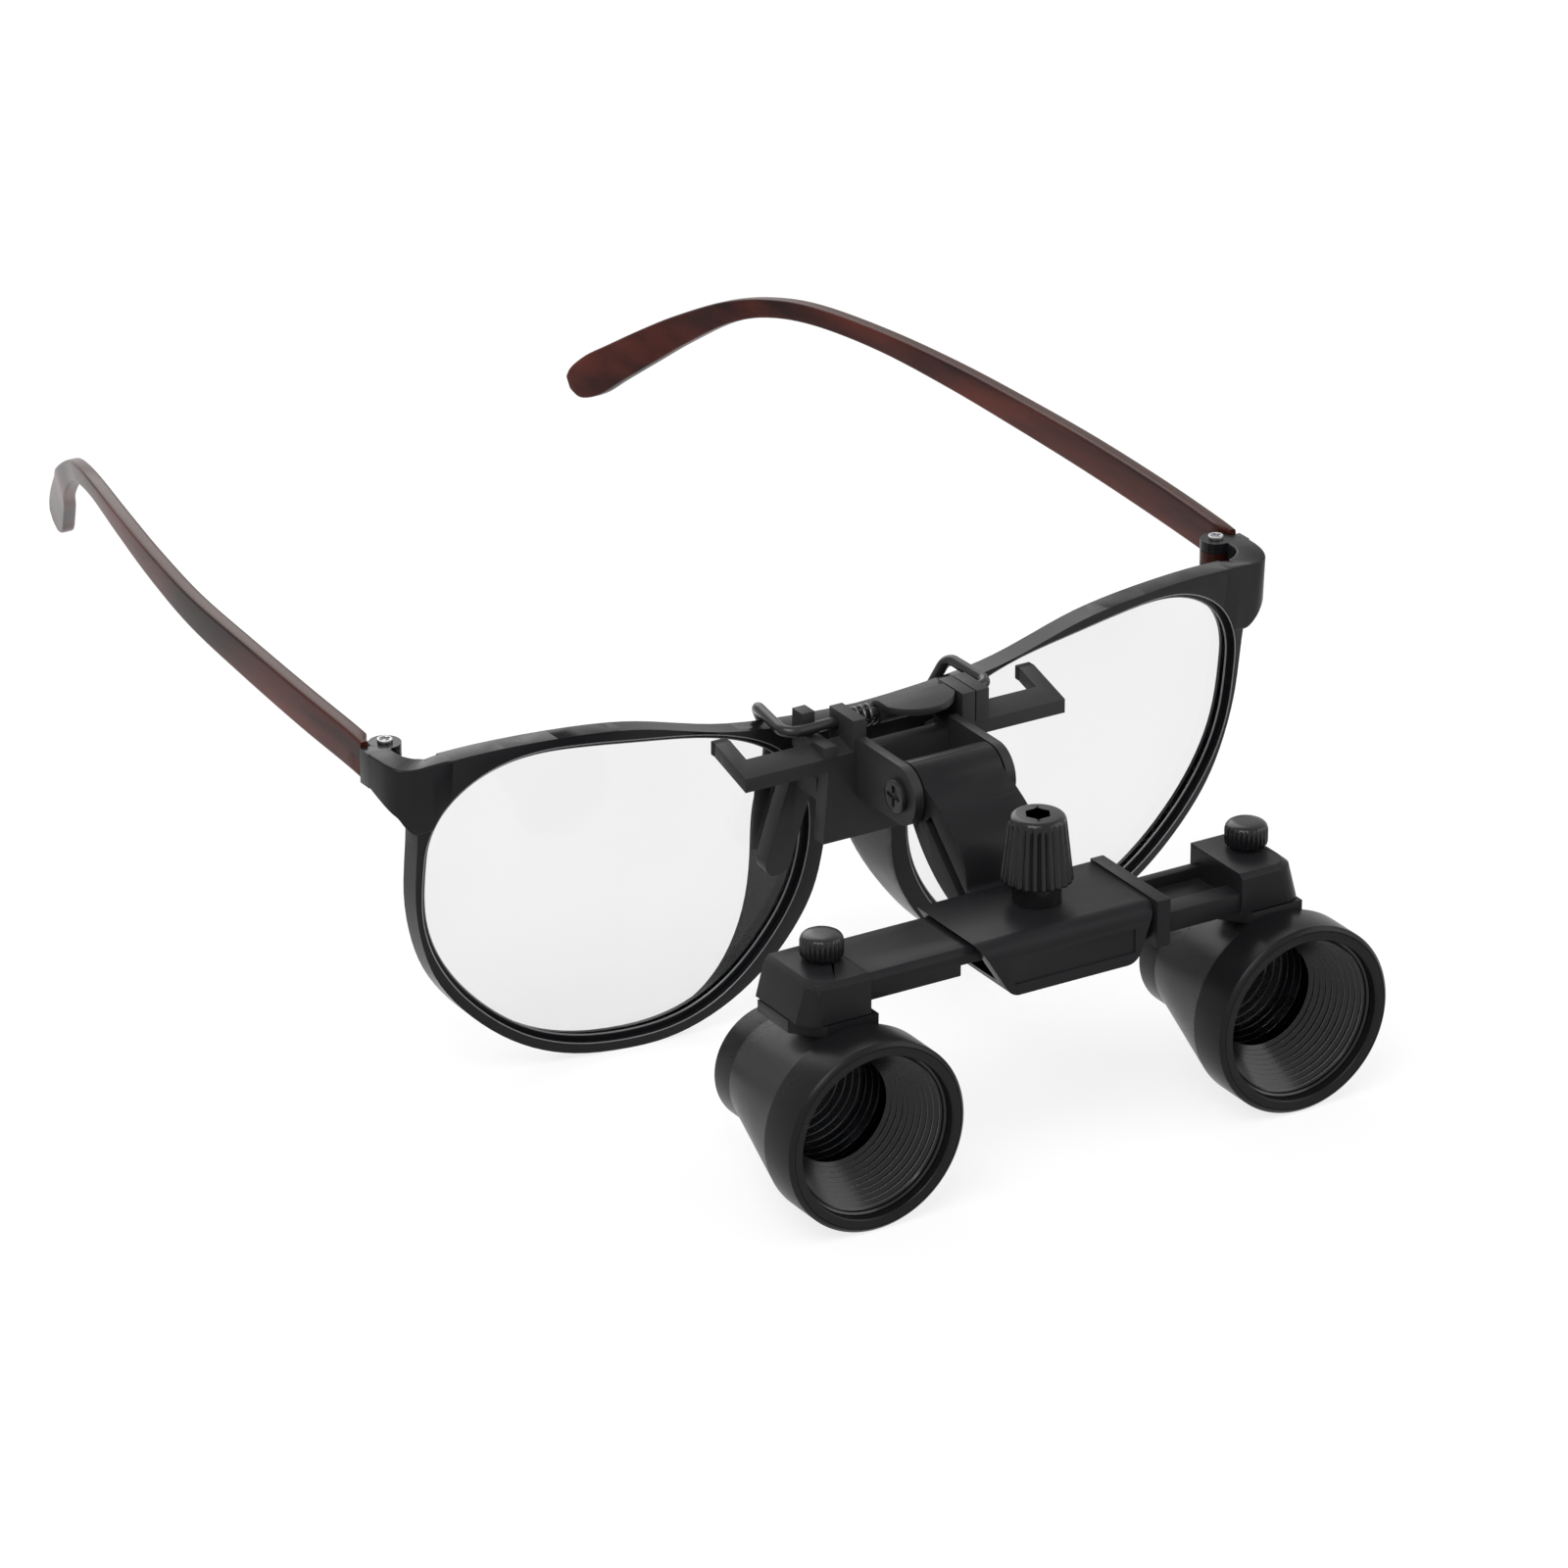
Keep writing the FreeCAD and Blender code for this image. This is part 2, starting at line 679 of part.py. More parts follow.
def clip_leg(side):
    """A front leg of the clip, leaning outwards and back along the nasal rim."""
    half = number("leg_width") / 2
    deep = number("leg_depth")
    front = -number("leg_front")
    top = FreeCAD.Vector(side * number("leg_top_x"), front, -number("leg_top") + half)
    foot = FreeCAD.Vector(side * number("leg_foot_x"), front, -number("leg_foot"))
    along = (foot - top).normalize()
    across = FreeCAD.Vector(along.z, 0, -along.x) * half
    arc = Part.Arc(foot + across, foot + along * half, foot - across).toShape()
    edges = [Part.makeLine(top - across, top + across), Part.makeLine(top + across, foot + across), arc,
             Part.makeLine(foot - across, top - across)]
    leg = Part.Face(Part.Wire(edges)).extrude(FreeCAD.Vector(0, deep, 0))
    lean = math.degrees(math.atan2(number("leg_lean"), number("leg_foot - leg_top")))
    leg.rotate(top, FreeCAD.Vector(1, 0, 0), lean)
    root = number("leg_root")
    start = FreeCAD.Vector(side * number("leg_top_x") - root, -number("clip_back"), -number("leg_top") - root)
    return leg.fuse(Part.makeBox(2 * root, number("clip_back - leg_front") + deep / 2, 2 * root, start))


def clip_bracket(side):
    """A bar along the brow with a hook back at its end, both rising towards the back."""
    front, back, tip = -number("clip_front"), -number("bar_back"), -number("hook_back")
    slope = number("hook_rise") / (tip - front)
    top = -number("clip_top")
    low = top - number("bar_height")

    def plate(far, start, length):
        rise = slope * (far - front)
        return side_plate([(front, low), (front, top), (far, top + rise), (far, low + rise)], start, length)

    inner, end, wide = number("cheek_inner"), number("bar_end"), number("hook_width")
    bar = plate(back, inner if side > 0 else -end, end - inner)
    return bar.fuse(plate(tip, end - wide if side > 0 else -end, wide))


def clip_body():
    half_top = number("clip_half_top")
    half_low = number("clip_half_bottom")
    front, back = -number("clip_front"), -number("clip_back")
    top, low = -number("clip_top"), -number("clip_bottom")
    outline = [(-half_top, top), (half_top, top), (half_low, low), (-half_low, low)]
    plate = Part.makePolygon([FreeCAD.Vector(x, front, z) for x, z in outline + outline[:1]])
    body = Part.Face(plate).extrude(FreeCAD.Vector(0, back - front, 0))
    x_axis = FreeCAD.Vector(1, 0, 0)
    cheek_inner = number("cheek_inner")
    cheek = number("cheek_outer - cheek_inner")
    flip = (-number("flip_forward"), -number("flip_drop"))
    boss = number("boss_radius")
    for side in (-1, 1):
        start = cheek_inner if side > 0 else -cheek_inner - cheek
        wall = box_between((start, flip[0], flip[1] - boss), (start + cheek, front, flip[1] + boss))
        body = body.fuse(wall).fuse(Part.makeCylinder(boss, cheek, FreeCAD.Vector(start, *flip), x_axis))
        body = body.fuse(clip_bracket(side)).fuse(clip_leg(side))
    ear = number("ear_width")
    wire = (-number("wire_forward"), -number("wire_drop"))
    root = number("0 - clip_top - overrun")
    crest = -number("ear_top")
    for x in (-number("ear_left"), number("ear_right"), number("ear_outer")):
        ear_back = wire[0] + number("ear_half_depth")
        body = body.fuse(box_between((x - ear / 2, front, root), (x + ear / 2, ear_back, crest)))
    prop = -number("ear_outer")
    clear = number("wire_radius + swing_room")
    behind = -number("ear_behind")
    body = body.fuse(box_between((prop - ear / 2, front, root), (prop + ear / 2, behind, wire[1] - clear)))
    body = body.fuse(box_between((prop - ear / 2, wire[0] + clear, root), (prop + ear / 2, behind, crest)))
    span = 2 * number("bar_end")
    for radius, centre in (("wire_radius + shaft_play", wire), ("flip_shaft + shaft_play", flip)):
        body = body.cut(Part.makeCylinder(number(radius), span, FreeCAD.Vector(-span / 2, *centre), x_axis))
    plain("clip_body", body.removeSplitter())


def clip_pad(label, side):
    """The rubber tip between a hook of the clip and the brow."""
    x = "bar_end - hook_width" if side > 0 else "0 - bar_end"
    pad = block(label + "_block", (x, x + " + hook_width"), ("0 - hook_back", "0 - hook_back + hook_pad"),
                ("0 - clip_top + hook_rise - bar_height", "0 - clip_top + hook_rise"))
    rounded = doc.addObject("Part::Fillet", label)
    rounded.Base = pad
    doc.recompute()
    back = max(vertex.Point.y for vertex in pad.Shape.Vertexes)
    corner = number("hook_pad") / 3
    rounded.Edges = [(index + 1, corner, corner) for index, edge in enumerate(pad.Shape.Edges)
                     if edge.BoundBox.YMin > back - corner]
    finish(rounded, label)


def wire_route():
    """The clip wire: across the pivot, back over the brow and down behind the rims."""
    foot_x = number("wire_foot_x")
    right = [
        FreeCAD.Vector(number("wire_reach"), -number("wire_forward"), -number("wire_drop")),
        FreeCAD.Vector(number("wire_over_x"), -number("wire_over"), -number("wire_over_drop")),
        FreeCAD.Vector(foot_x, -number("wire_knee_y"), -number("wire_knee")),
        FreeCAD.Vector(foot_x, -number("wire_foot_y"), -number("wire_foot"))]
    return [FreeCAD.Vector(-point.x, point.y, point.z) for point in reversed(right)] + right


def rounded_route(points, bend):
    """A line through points, with an arc in place of each corner."""
    edges = []
    last = points[0]
    for before, corner, after in zip(points, points[1:], points[2:]):
        back = (before - corner).normalize()
        ahead = (after - corner).normalize()
        half = back.getAngle(ahead) / 2
        setback = bend / math.tan(half)
        start = corner + back * setback
        end = corner + ahead * setback
        middle_way = (back + ahead).normalize()
        middle = corner + middle_way * (bend / math.sin(half) - bend)
        edges.append(Part.makeLine(last, start))
        edges.append(Part.Arc(start, middle, end).toShape())
        last = end
    edges.append(Part.makeLine(last, points[-1]))
    return Part.Wire(edges)


def swept_round(route, radius):
    start = route.Edges[0].Vertexes[0].Point
    along = route.Edges[0].tangentAt(route.Edges[0].FirstParameter)
    ring = Part.Wire(Part.makeCircle(radius, start, along))
    return route.makePipeShell([ring], True, False)


def clip_wire():
    plain("clip_wire", swept_round(rounded_route(wire_route(), number("wire_bend")), number("wire_radius")))


def wire_sleeve(label, side):
    """A soft tube on the end of the clip wire."""
    x = "wire_foot_x" if side > 0 else "0 - wire_foot_x"
    body = turned(label, [
        ("wire_radius + shaft_play", "0"), ("sleeve_radius", "0"), ("sleeve_radius", "sleeve_length"),
        ("wire_radius + shaft_play", "sleeve_length")])
    doc.recompute()
    foot, knee = wire_route()[-1], wire_route()[-2]
    way = FreeCAD.Rotation(FreeCAD.Vector(0, 0, 1), knee - foot)
    finish(body, label, x=x, y="0 - wire_foot_y", z="0 - wire_foot", rotation=way)


def clip_lever():
    """The half-moon thumb tab and its roll round the wire."""
    centre_x = "tab_right/2 - tab_left/2"
    moon = rod("tab_moon", "tab_depth", "tab_thickness", centre_x, "0 - wire_forward",
               "0 - tab_top - tab_thickness")
    window = block("tab_window", ("0 - tab_left", "tab_right"),
                   ("0 - wire_forward - tab_depth", "0 - wire_forward"),
                   ("0 - tab_top - tab_thickness - overrun", "0 - tab_top + overrun"))
    plate = doc.addObject("Part::Common", "tab_plate")
    plate.Base = moon
    plate.Tool = window
    roll = rod("tab_roll", "roll_radius", "tab_right + tab_left", "0 - tab_left", "0 - wire_forward",
               "0 - wire_drop", along_x)
    web = block("tab_web", ("0 - tab_left", "tab_right"),
                ("0 - wire_forward - roll_radius", "0 - wire_forward"), ("0 - wire_drop", "0 - tab_top"))
    hole = rod("tab_hole", "wire_radius + seat_play", "tab_right + tab_left + overrun",
               "0 - tab_left - overrun/2", "0 - wire_forward", "0 - wire_drop", along_x)
    finish(less("clip_lever", joined("tab_solid", [plate, roll, web]), [hole]), "clip_lever")


def torsion_spring():
    """Coils round the clip wire, with a leg down to the clip."""
    radius = number("spring_coil")
    pitch = number("spring_pitch")
    centre = FreeCAD.Vector(-number("spring_start"), -number("wire_forward"), -number("wire_drop"))

    def at(turn):
        angle = 2 * math.pi * turn
        return centre + FreeCAD.Vector(pitch * turn, -radius * math.cos(angle), radius * math.sin(angle))

    def way(turn):
        angle = 2 * math.pi * turn
        advance = pitch / (2 * math.pi)
        return FreeCAD.Vector(advance, radius * math.sin(angle), radius * math.cos(angle)).normalize()

    tail = at(0) - way(0) * number("spring_leg")
    edges = [Part.makeLine(tail, at(0))]
    quarters = 4 * SPRING_TURNS
    for quarter in range(quarters):
        first, last = quarter / 4, (quarter + 1) / 4
        edges.append(Part.Arc(at(first), at((first + last) / 2), at(last)).toShape())
    ring = Part.Wire(Part.makeCircle(number("spring_wire"), tail, way(0)))
    plain("torsion_spring", Part.Wire(edges).makePipeShell([ring], True, False))
    steps = 12 * quarters
    samples = [at(SPRING_TURNS * step / steps) for step in range(steps + 1)]
    half_turn = steps // (2 * SPRING_TURNS)
    least = min((samples[first] - samples[second]).Length
                for first in range(steps + 1) for second in range(first + half_turn, steps + 1))
    print("torsion spring least gap %.3f mm" % (least - 2 * number("spring_wire")))


def flip_screw():
    body = turned("flip_hinge_screw", [
        ("0", "0"), ("flip_head", "0"), ("flip_head", "flip_head_height"), ("flip_shaft", "flip_head_height"),
        ("flip_shaft", "flip_head_height + cheek_outer + cheek_outer + nut_height"),
        ("0", "flip_head_height + cheek_outer + cheek_outer + nut_height")])
    pocketed(body, "flip_screw_slots", "XY_Plane", cross_outline("driver_slot", "flip_shaft"),
             "flip_head_height/2", "0", backwards=True)
    finish(body, "flip_hinge_screw", x="0 - cheek_outer - flip_head_height", y="0 - flip_forward",
           z="0 - flip_drop", rotation=along_x)


def flip_nut():
    prism = doc.addObject("Part::Prism", "flip_nut_blank")
    prism.Polygon = 6
    prism.setExpression("Circumradius", "Sizes.nut_across / sqrt(3)")
    prism.setExpression("Height", cells("nut_height"))
    hole = rod("flip_nut_hole", "flip_shaft + seat_play", "nut_height + overrun", "0", "0", "0 - overrun/2")
    finish(less("flip_hinge_nut", prism, [hole]), "flip_hinge_nut", x="cheek_outer", y="0 - flip_forward",
           z="0 - flip_drop", rotation=along_x)


def flip_arm():
    """The arm between the clip's cheeks that carries the slide housing, grooved along both sides."""
    half = number("arm_half")
    boss = number("boss_radius")
    hinge = FreeCAD.Vector(-half, -number("flip_forward"), -number("flip_drop"))

    def side_point(shares, x=-half):
        return FreeCAD.Vector(x, shares[0] * number("housing_back"), shares[1] * number("housing_top"))

    front = [side_point(pair) for pair in flip_arm_front_shares]
    back = [side_point(pair) for pair in flip_arm_back_shares]
    corner = FreeCAD.Vector(-half, -number("housing_back"), front[-1].z)
    edges = [curve(front), Part.makeLine(front[-1], corner), Part.makeLine(corner, back[0]), curve(back),
             Part.makeLine(back[-1], front[0])]
    arm = Part.Face(Part.Wire(edges)).extrude(FreeCAD.Vector(2 * half, 0, 0))
    x_axis = FreeCAD.Vector(1, 0, 0)
    arm = arm.fuse(Part.makeCylinder(boss, 2 * half, hinge, x_axis))
    deep = number("arm_groove")
    for x in (-half, half - deep):
        start, end = (side_point(pair, x) for pair in flip_groove_shares)
        along = (end - start).normalize()
        across = FreeCAD.Vector(0, -along.z, along.y) * (number("arm_groove_width") / 2)
        corners = [start - across, end - across, end + across, start + across]
        groove = Part.Face(Part.makePolygon(corners + corners[:1])).extrude(FreeCAD.Vector(deep, 0, 0))
        arm = arm.cut(groove)
    bore = Part.makeCylinder(number("flip_shaft + shaft_play"), 2 * half, hinge, x_axis)
    plain("flip_arm", arm.cut(bore).removeSplitter())


def slide_housing():
    """The box of the rack and pinion, with its slot for the slides and its bearing holes."""
    body = doc.addObject("PartDesign::Body", "slide_housing")
    shell = padded(body, "housing_block", "XZ_Plane", [
        ("0 - housing_left", "0 - housing_top"), ("housing_right", "0 - housing_top"),
        ("housing_foot_half", "0 - housing_bottom"), ("0 - housing_foot_half", "0 - housing_bottom")],
        "housing_front - housing_back", offset="housing_back")
    near = number("touch")
    front, top, low = -number("housing_front"), -number("housing_top"), -number("housing_bottom")
    rounded = dressed(body, "Fillet", "housing_corners", shell, "housing_round",
                      lambda edge: edge.BoundBox.ZMax < low + near and edge.BoundBox.XLength < near)
    doc.recompute()
    dressed(body, "Fillet", "housing_brow", rounded, "housing_round",
            lambda edge: edge.BoundBox.YMax < front + near and edge.BoundBox.ZMin > top - near)
    way_back, way_front = "0 - slide_back + slide_play", "0 - slide_front - slide_play"
    way_top, way_low = "0 - upper_top + slide_play", "0 - lower_bottom - slide_play"
    pocketed(body, "slide_way", "YZ_Plane",
             [(way_back, way_top), (way_back, way_low), (way_front, way_low), (way_front, way_top)],
             "housing_left + housing_right + overrun", "0 - housing_left - overrun/2", backwards=True)
    left, right = "panel_inset/4 - housing_foot_half", "housing_foot_half - panel_inset/4"
    high, base = "0 - housing_top - housing_round - panel_inset/2", "0 - housing_bottom + panel_inset"
    pocketed(body, "front_panel", "XZ_Plane", [(left, high), (right, high), (right, base), (left, base)],
             "panel_depth", "housing_front")
    journal = rod("journal_hole", "gear_journal + shaft_play", "overrun + overrun", "0", "0 - gear_back",
                  "0 - upper_top - overrun/2")
    pivot = rod("pivot_hole", "gear_pivot + shaft_play", "gear_pivot_bottom - lower_bottom + overrun", "0",
                "0 - gear_back", "0 - gear_pivot_bottom")
    finish(less("slide_housing_bored", body, [journal, pivot]), "slide_housing")
    body.Label = "slide_housing_solid"


def housing_end_cap():
    flange = block("cap_flange", ("housing_right", "cap_right"),
                   ("0 - housing_front - cap_lip", "0 - housing_back + cap_lip"),
                   ("0 - housing_bottom + panel_inset", "0 - housing_top + cap_lip"))
    opening = block("cap_opening", ("housing_right - overrun", "cap_right + overrun"),
                    ("0 - slide_front - slide_play", "0 - slide_back + slide_play"),
                    ("0 - lower_bottom - slide_play", "0 - lower_rail + slide_play"))
    rounded = doc.addObject("Part::Fillet", "cap_rounded")
    rounded.Base = flange
    doc.recompute()
    size = number("cap_lip")
    rounded.Edges = [(index + 1, size, size) for index, edge in enumerate(flange.Shape.Edges)
                     if edge.BoundBox.XMin > number("cap_right") - size]
    finish(less("housing_end_cap", rounded, [opening]), "housing_end_cap")


def rack_base(side):
    """Where a rack's web ends, in front of the pinion or behind it."""
    reach = number("gear_module") * (PINION_TEETH / 2 + rack_web_share)
    return side * reach - number("gear_back")


def rack_teeth(side, z_low, z_high, x_low, x_high):
    """Straight-flanked rack teeth that meet the pinion on one side of its axis."""
    module = number("gear_module")
    pitch = math.pi * module
    pitch_line = -number("gear_back") + side * module * PINION_TEETH / 2
    lean = math.tan(PRESSURE_ANGLE)
    half_tooth = pitch / 4 - number("gear_backlash") / 2
    crest = -side * rack_crest_share * module
    root = side * rack_root_share * module
    base = rack_base(side)
    first = math.ceil(x_low / pitch) + 1
    last = math.floor(x_high / pitch) - 1
    corners = [FreeCAD.Vector(x_low, base, z_low)]
    root_y = pitch_line + root
    crest_y = pitch_line + crest
    corners.append(FreeCAD.Vector(x_low, root_y, z_low))
    for tooth in range(first, last + 1):
        x = tooth * pitch
        wide = half_tooth + abs(root) * lean
        narrow = half_tooth - abs(crest) * lean
        corners.append(FreeCAD.Vector(x - wide, root_y, z_low))
        corners.append(FreeCAD.Vector(x - narrow, crest_y, z_low))
        corners.append(FreeCAD.Vector(x + narrow, crest_y, z_low))
        corners.append(FreeCAD.Vector(x + wide, root_y, z_low))
    corners.append(FreeCAD.Vector(x_high, root_y, z_low))
    corners.append(FreeCAD.Vector(x_high, base, z_low))
    face = Part.Face(Part.makePolygon(corners + corners[:1]))
    return face.extrude(FreeCAD.Vector(0, 0, z_high - z_low))


def arm_left():
    """The upper slide: rack on the front side of its slot, skirted where it leaves the housing."""
    back, front = -number("slide_back"), -number("slide_front")
    top, thin, skirt = -number("upper_top"), -number("upper_bottom"), -number("upper_skirt")
    outer = -number(ARM_END_LEFT)
    end = number("slide_end")
    near = number("touch")
    past = number("overrun")
    bar = box_between((outer, front, thin), (end, back, top))
    keel_end = -number("housing_left + travel_in + slide_play")
    solid = bar.fuse(box_between((outer, front, skirt), (keel_end, back, thin)))
    upper = [edge for edge in solid.Edges if edge.BoundBox.ZMin > top - near]
    brow = [edge for edge in upper if edge.BoundBox.YMax < front + near]
    solid = solid.makeChamfer(number("arm_chamfer"), brow)
    slot_back = back - number("rail_back/2 + swing_room")
    slot = box_between((-number("slot_end"), rack_base(-1), skirt - past), (end + past, slot_back, top + past))
    solid = solid.cut(slot)
    solid = solid.fuse(rack_teeth(-1, thin, top, -number("slot_end"), end))
    plain("arm_left", solid.cut(mirrored(lock_bore(), -1)).removeSplitter())


def arm_right():
    """The lower slide: a floor with two rails, and its rack on the back rail."""
    back, front = -number("slide_back"), -number("slide_front")
    floor, low, rail = -number("lower_floor"), -number("lower_bottom"), -number("lower_rail")
    outer = number(ARM_END_RIGHT)
    end = -number("slide_end")
    solid = box_between((end, front, low), (outer, back, floor))
    solid = solid.fuse(box_between((end, back - number("rail_back"), floor), (outer, back, rail)))
    solid = solid.fuse(box_between((end, front, floor), (outer, front + number("rail_front"), rail)))
    past = number("overrun")
    slot_front = front + number("rail_front")
    slot = box_between((end - past, slot_front, low - past), (number("slot_end"), rack_base(1), rail + past))
    solid = solid.cut(slot)
    solid = solid.fuse(rack_teeth(1, low, rail, end, number("slot_end")))
    plain("arm_right", solid.cut(lock_bore()).removeSplitter())


def involute_tooth():
    """One flank of a pinion tooth, from root to tip, as radii and angles from the tooth's middle."""
    module = number("gear_module")
    pitch_radius = module * PINION_TEETH / 2
    base_radius = pitch_radius * math.cos(PRESSURE_ANGLE)
    tip = pitch_radius + pinion_tip_share * module
    root = pitch_radius - pinion_root_share * module
    spread = math.tan(PRESSURE_ANGLE) - PRESSURE_ANGLE
    half_angle = math.pi / (2 * PINION_TEETH) + spread
    flank = [(root, half_angle)]
    for step in range(FLANK_STEPS + 1):
        radius = base_radius + (tip - base_radius) * step / FLANK_STEPS
        roll = math.acos(min(1, base_radius / radius))
        flank.append((radius, half_angle - (math.tan(roll) - roll)))
    return flank


def pinion_shaft():
    """The pinion with its lower pivot, upper journal and the spindle that carries the knob."""
    centre = FreeCAD.Vector(0, -number("gear_back"), -number("gear_bottom"))
    flank = involute_tooth()
    points = []
    for tooth in range(PINION_TEETH):
        middle = math.pi / 2 + 2 * math.pi * tooth / PINION_TEETH + math.pi / PINION_TEETH
        for radius, angle in flank:
            points.append((radius, middle - angle))
        for radius, angle in reversed(flank):
            points.append((radius, middle + angle))
    corners = [centre + FreeCAD.Vector(radius * math.cos(angle), radius * math.sin(angle), 0)
               for radius, angle in points]
    outline = Part.Face(Part.makePolygon(corners + corners[:1]))
    gear = outline.extrude(FreeCAD.Vector(0, 0, number("gear_bottom - gear_top")))

    def length(radius, low, high):
        return upright(number(radius), -number(low), -number(high), 0, centre.y)

    solid = gear.fuse(length("gear_pivot", "gear_pivot_bottom", "gear_bottom"))
    solid = solid.fuse(length("gear_journal", "gear_top", "knob_neck_bottom"))
    solid = solid.fuse(length("spindle_radius", "knob_neck_bottom", "spindle_top"))
    plain("pinion_shaft", solid)


def knurled(count, low, high, low_radius, high_radius, depth):
    """A straight-knurled grip between two heights."""
    rings = []
    for height, radius in ((low, low_radius), (high, high_radius)):
        corners = []
        for ridge in range(count):
            for share, inset in knurl_shares:
                angle = 2 * math.pi * (ridge + share) / count
                reach = radius - inset * depth
                corners.append(FreeCAD.Vector(reach * math.cos(angle), reach * math.sin(angle), height))
        rings.append(Part.makePolygon(corners + corners[:1]))
    return Part.makeLoft(rings, True, True)


def pd_knob():
    """The fluted central knob that turns the pinion."""
    body = turned("pd_knob_core", [
        ("spindle_radius + seat_play", "0 - knob_neck_bottom"), ("knob_neck", "0 - knob_neck_bottom"),
        ("knob_neck", "0 - knob_top"), ("screw_head + seat_play", "0 - knob_top"),
        ("screw_head + seat_play", "0 - spindle_top"), ("spindle_radius + seat_play", "0 - spindle_top")])
    doc.recompute()
    grip = knurled(KNOB_FLUTES, -number("knob_bottom"), -number("knob_top"), number("knob_bottom_radius"),
                   number("knob_top_radius"), number("flute_depth"))
    middle = number("knob_neck + screw_head") / 2
    core = upright(middle, -number("knob_bottom"), 0, 0, 0)
    plain("pd_knob", grip.cut(core).fuse(body.Shape), y="0 - gear_back")


def knob_screw():
    low, top = "0 - spindle_top + seat_play", "0 - knob_top - screw_sink"
    solid = turned("knob_set_screw", [("0", low), ("screw_head", low), ("screw_head", top), ("0", top)])
    socket = doc.addObject("Part::Prism", "hex_socket")
    socket.Polygon = 6
    socket.setExpression("Circumradius", "Sizes.hex_across / sqrt(3)")
    socket.setExpression("Height", cells("hex_depth + overrun"))
    put(socket, "0", "0", "0 - knob_top - screw_sink - hex_depth")
    finish(less("knob_set_screw_cut", solid, [socket]), "knob_set_screw", y="0 - gear_back")
    solid.Label = "knob_screw_solid"


def end_block(label, side):
    """The block on a slide's outer end, for lock knob and barrel; both stand a little to the left of their knobs."""
    shift = -side * number("block_shift")
    inner, outer = number("block_inner") + shift, number("block_outer") + shift
    back, front = -number("block_back"), -number("block_front")
    top, low = -number("block_top"), -number("block_bottom")
    flared = outer - number("block_flare")
    near = number("touch")
    outline = [FreeCAD.Vector(inner, front, low), FreeCAD.Vector(outer, front, low),
               FreeCAD.Vector(flared, front, top), FreeCAD.Vector(inner, front, top)]
    solid = Part.Face(Part.makePolygon(outline + outline[:1])).extrude(FreeCAD.Vector(0, back - front, 0))
    chamfer = number("block_chamfer")
    corner = [edge for edge in solid.Edges
              if edge.BoundBox.XMin > flared - near and edge.BoundBox.YMax < front + near]
    solid = solid.makeChamfer(chamfer, corner)
    upper = [edge for edge in solid.Edges if edge.BoundBox.ZMin > top - near]
    crest = [edge for edge in upper if edge.BoundBox.YMin < front + near or edge.BoundBox.XMax > flared - near]
    solid = solid.makeChamfer(chamfer / 2, crest)
    play = number("seat_play")
    slide_top, slide_low = ("upper_top", "upper_skirt") if side < 0 else ("lower_rail", "lower_bottom")
    way = box_between((inner - chamfer, -number("slide_front") - play, -number(slide_low) - play),
                      (number(ARM_END_LEFT if side < 0 else ARM_END_RIGHT) + play, -number("slide_back") + play, -number(slide_top) + play))
    plain(label, mirrored(solid.cut(way).cut(lock_bore()), side))


def lock_bore():
    """The hole for the lock stem through the right-hand block and slide."""
    return upright(number("block_bore"), -number("block_bottom"), 0, number("swivel_x"), -number("swivel_back"))


def lock_knob(label, x):
    """A small knurled knob on a stem that pinches the slide and the barrel's foot."""
    core = turned(label + "_core", [
        ("0", "0 - lock_stem_bottom"), ("lock_stem", "0 - lock_stem_bottom"),
        ("lock_stem", "0 - lock_neck_bottom"), ("lock_neck", "0 - lock_neck_bottom"),
        ("lock_neck", "0 - lock_top"), ("0", "0 - lock_top")])
    doc.recompute()
    radius = number("lock_radius")
    depth = number("knurl_depth")
    grip = knurled(LOCK_KNURLS, -number("lock_bottom"), -number("lock_top"), radius, radius, depth)
    plain(label, grip.fuse(core.Shape).removeSplitter(), x=x, y="0 - swivel_back")


def barrel(label, x):
    body = turned(label, [
        ("eye_seat", "0"), ("eye_radius - barrel_edge", "0"), ("eye_radius", "barrel_edge"),
        ("eye_radius", "eye_length"),
        ("barrel_radius", "eye_length + cone_length"), ("barrel_radius", "barrel_length - barrel_edge"),
        ("barrel_radius - barrel_edge", "barrel_length"), ("ring_radius", "barrel_length"),
        ("ring_radius", "barrel_length - ring_depth"), ("tube_radius", "barrel_length - ring_depth"),
        ("tube_radius", "tube_start"), ("objective_radius", "tube_start"),
        ("objective_radius", "objective_start"), ("stop_radius", "objective_start"), ("cone_stop", "cone_start"),
        ("cone_stop", "eye_seat_depth"), ("eye_seat", "eye_seat_depth")])
    doc.recompute()
    finish(body, label, x=x, y="0 - barrel_back", z="0 - barrel_drop", rotation=along_minus_y)


def ring(label, x, inner, outer, start, length):
    end = start + " + " + length
    body = turned(label, [(inner, start), (outer, start), (outer, end), (inner, end)])
    doc.recompute()
    finish(body, label, x=x, y="0 - barrel_back", z="0 - barrel_drop", rotation=along_minus_y)


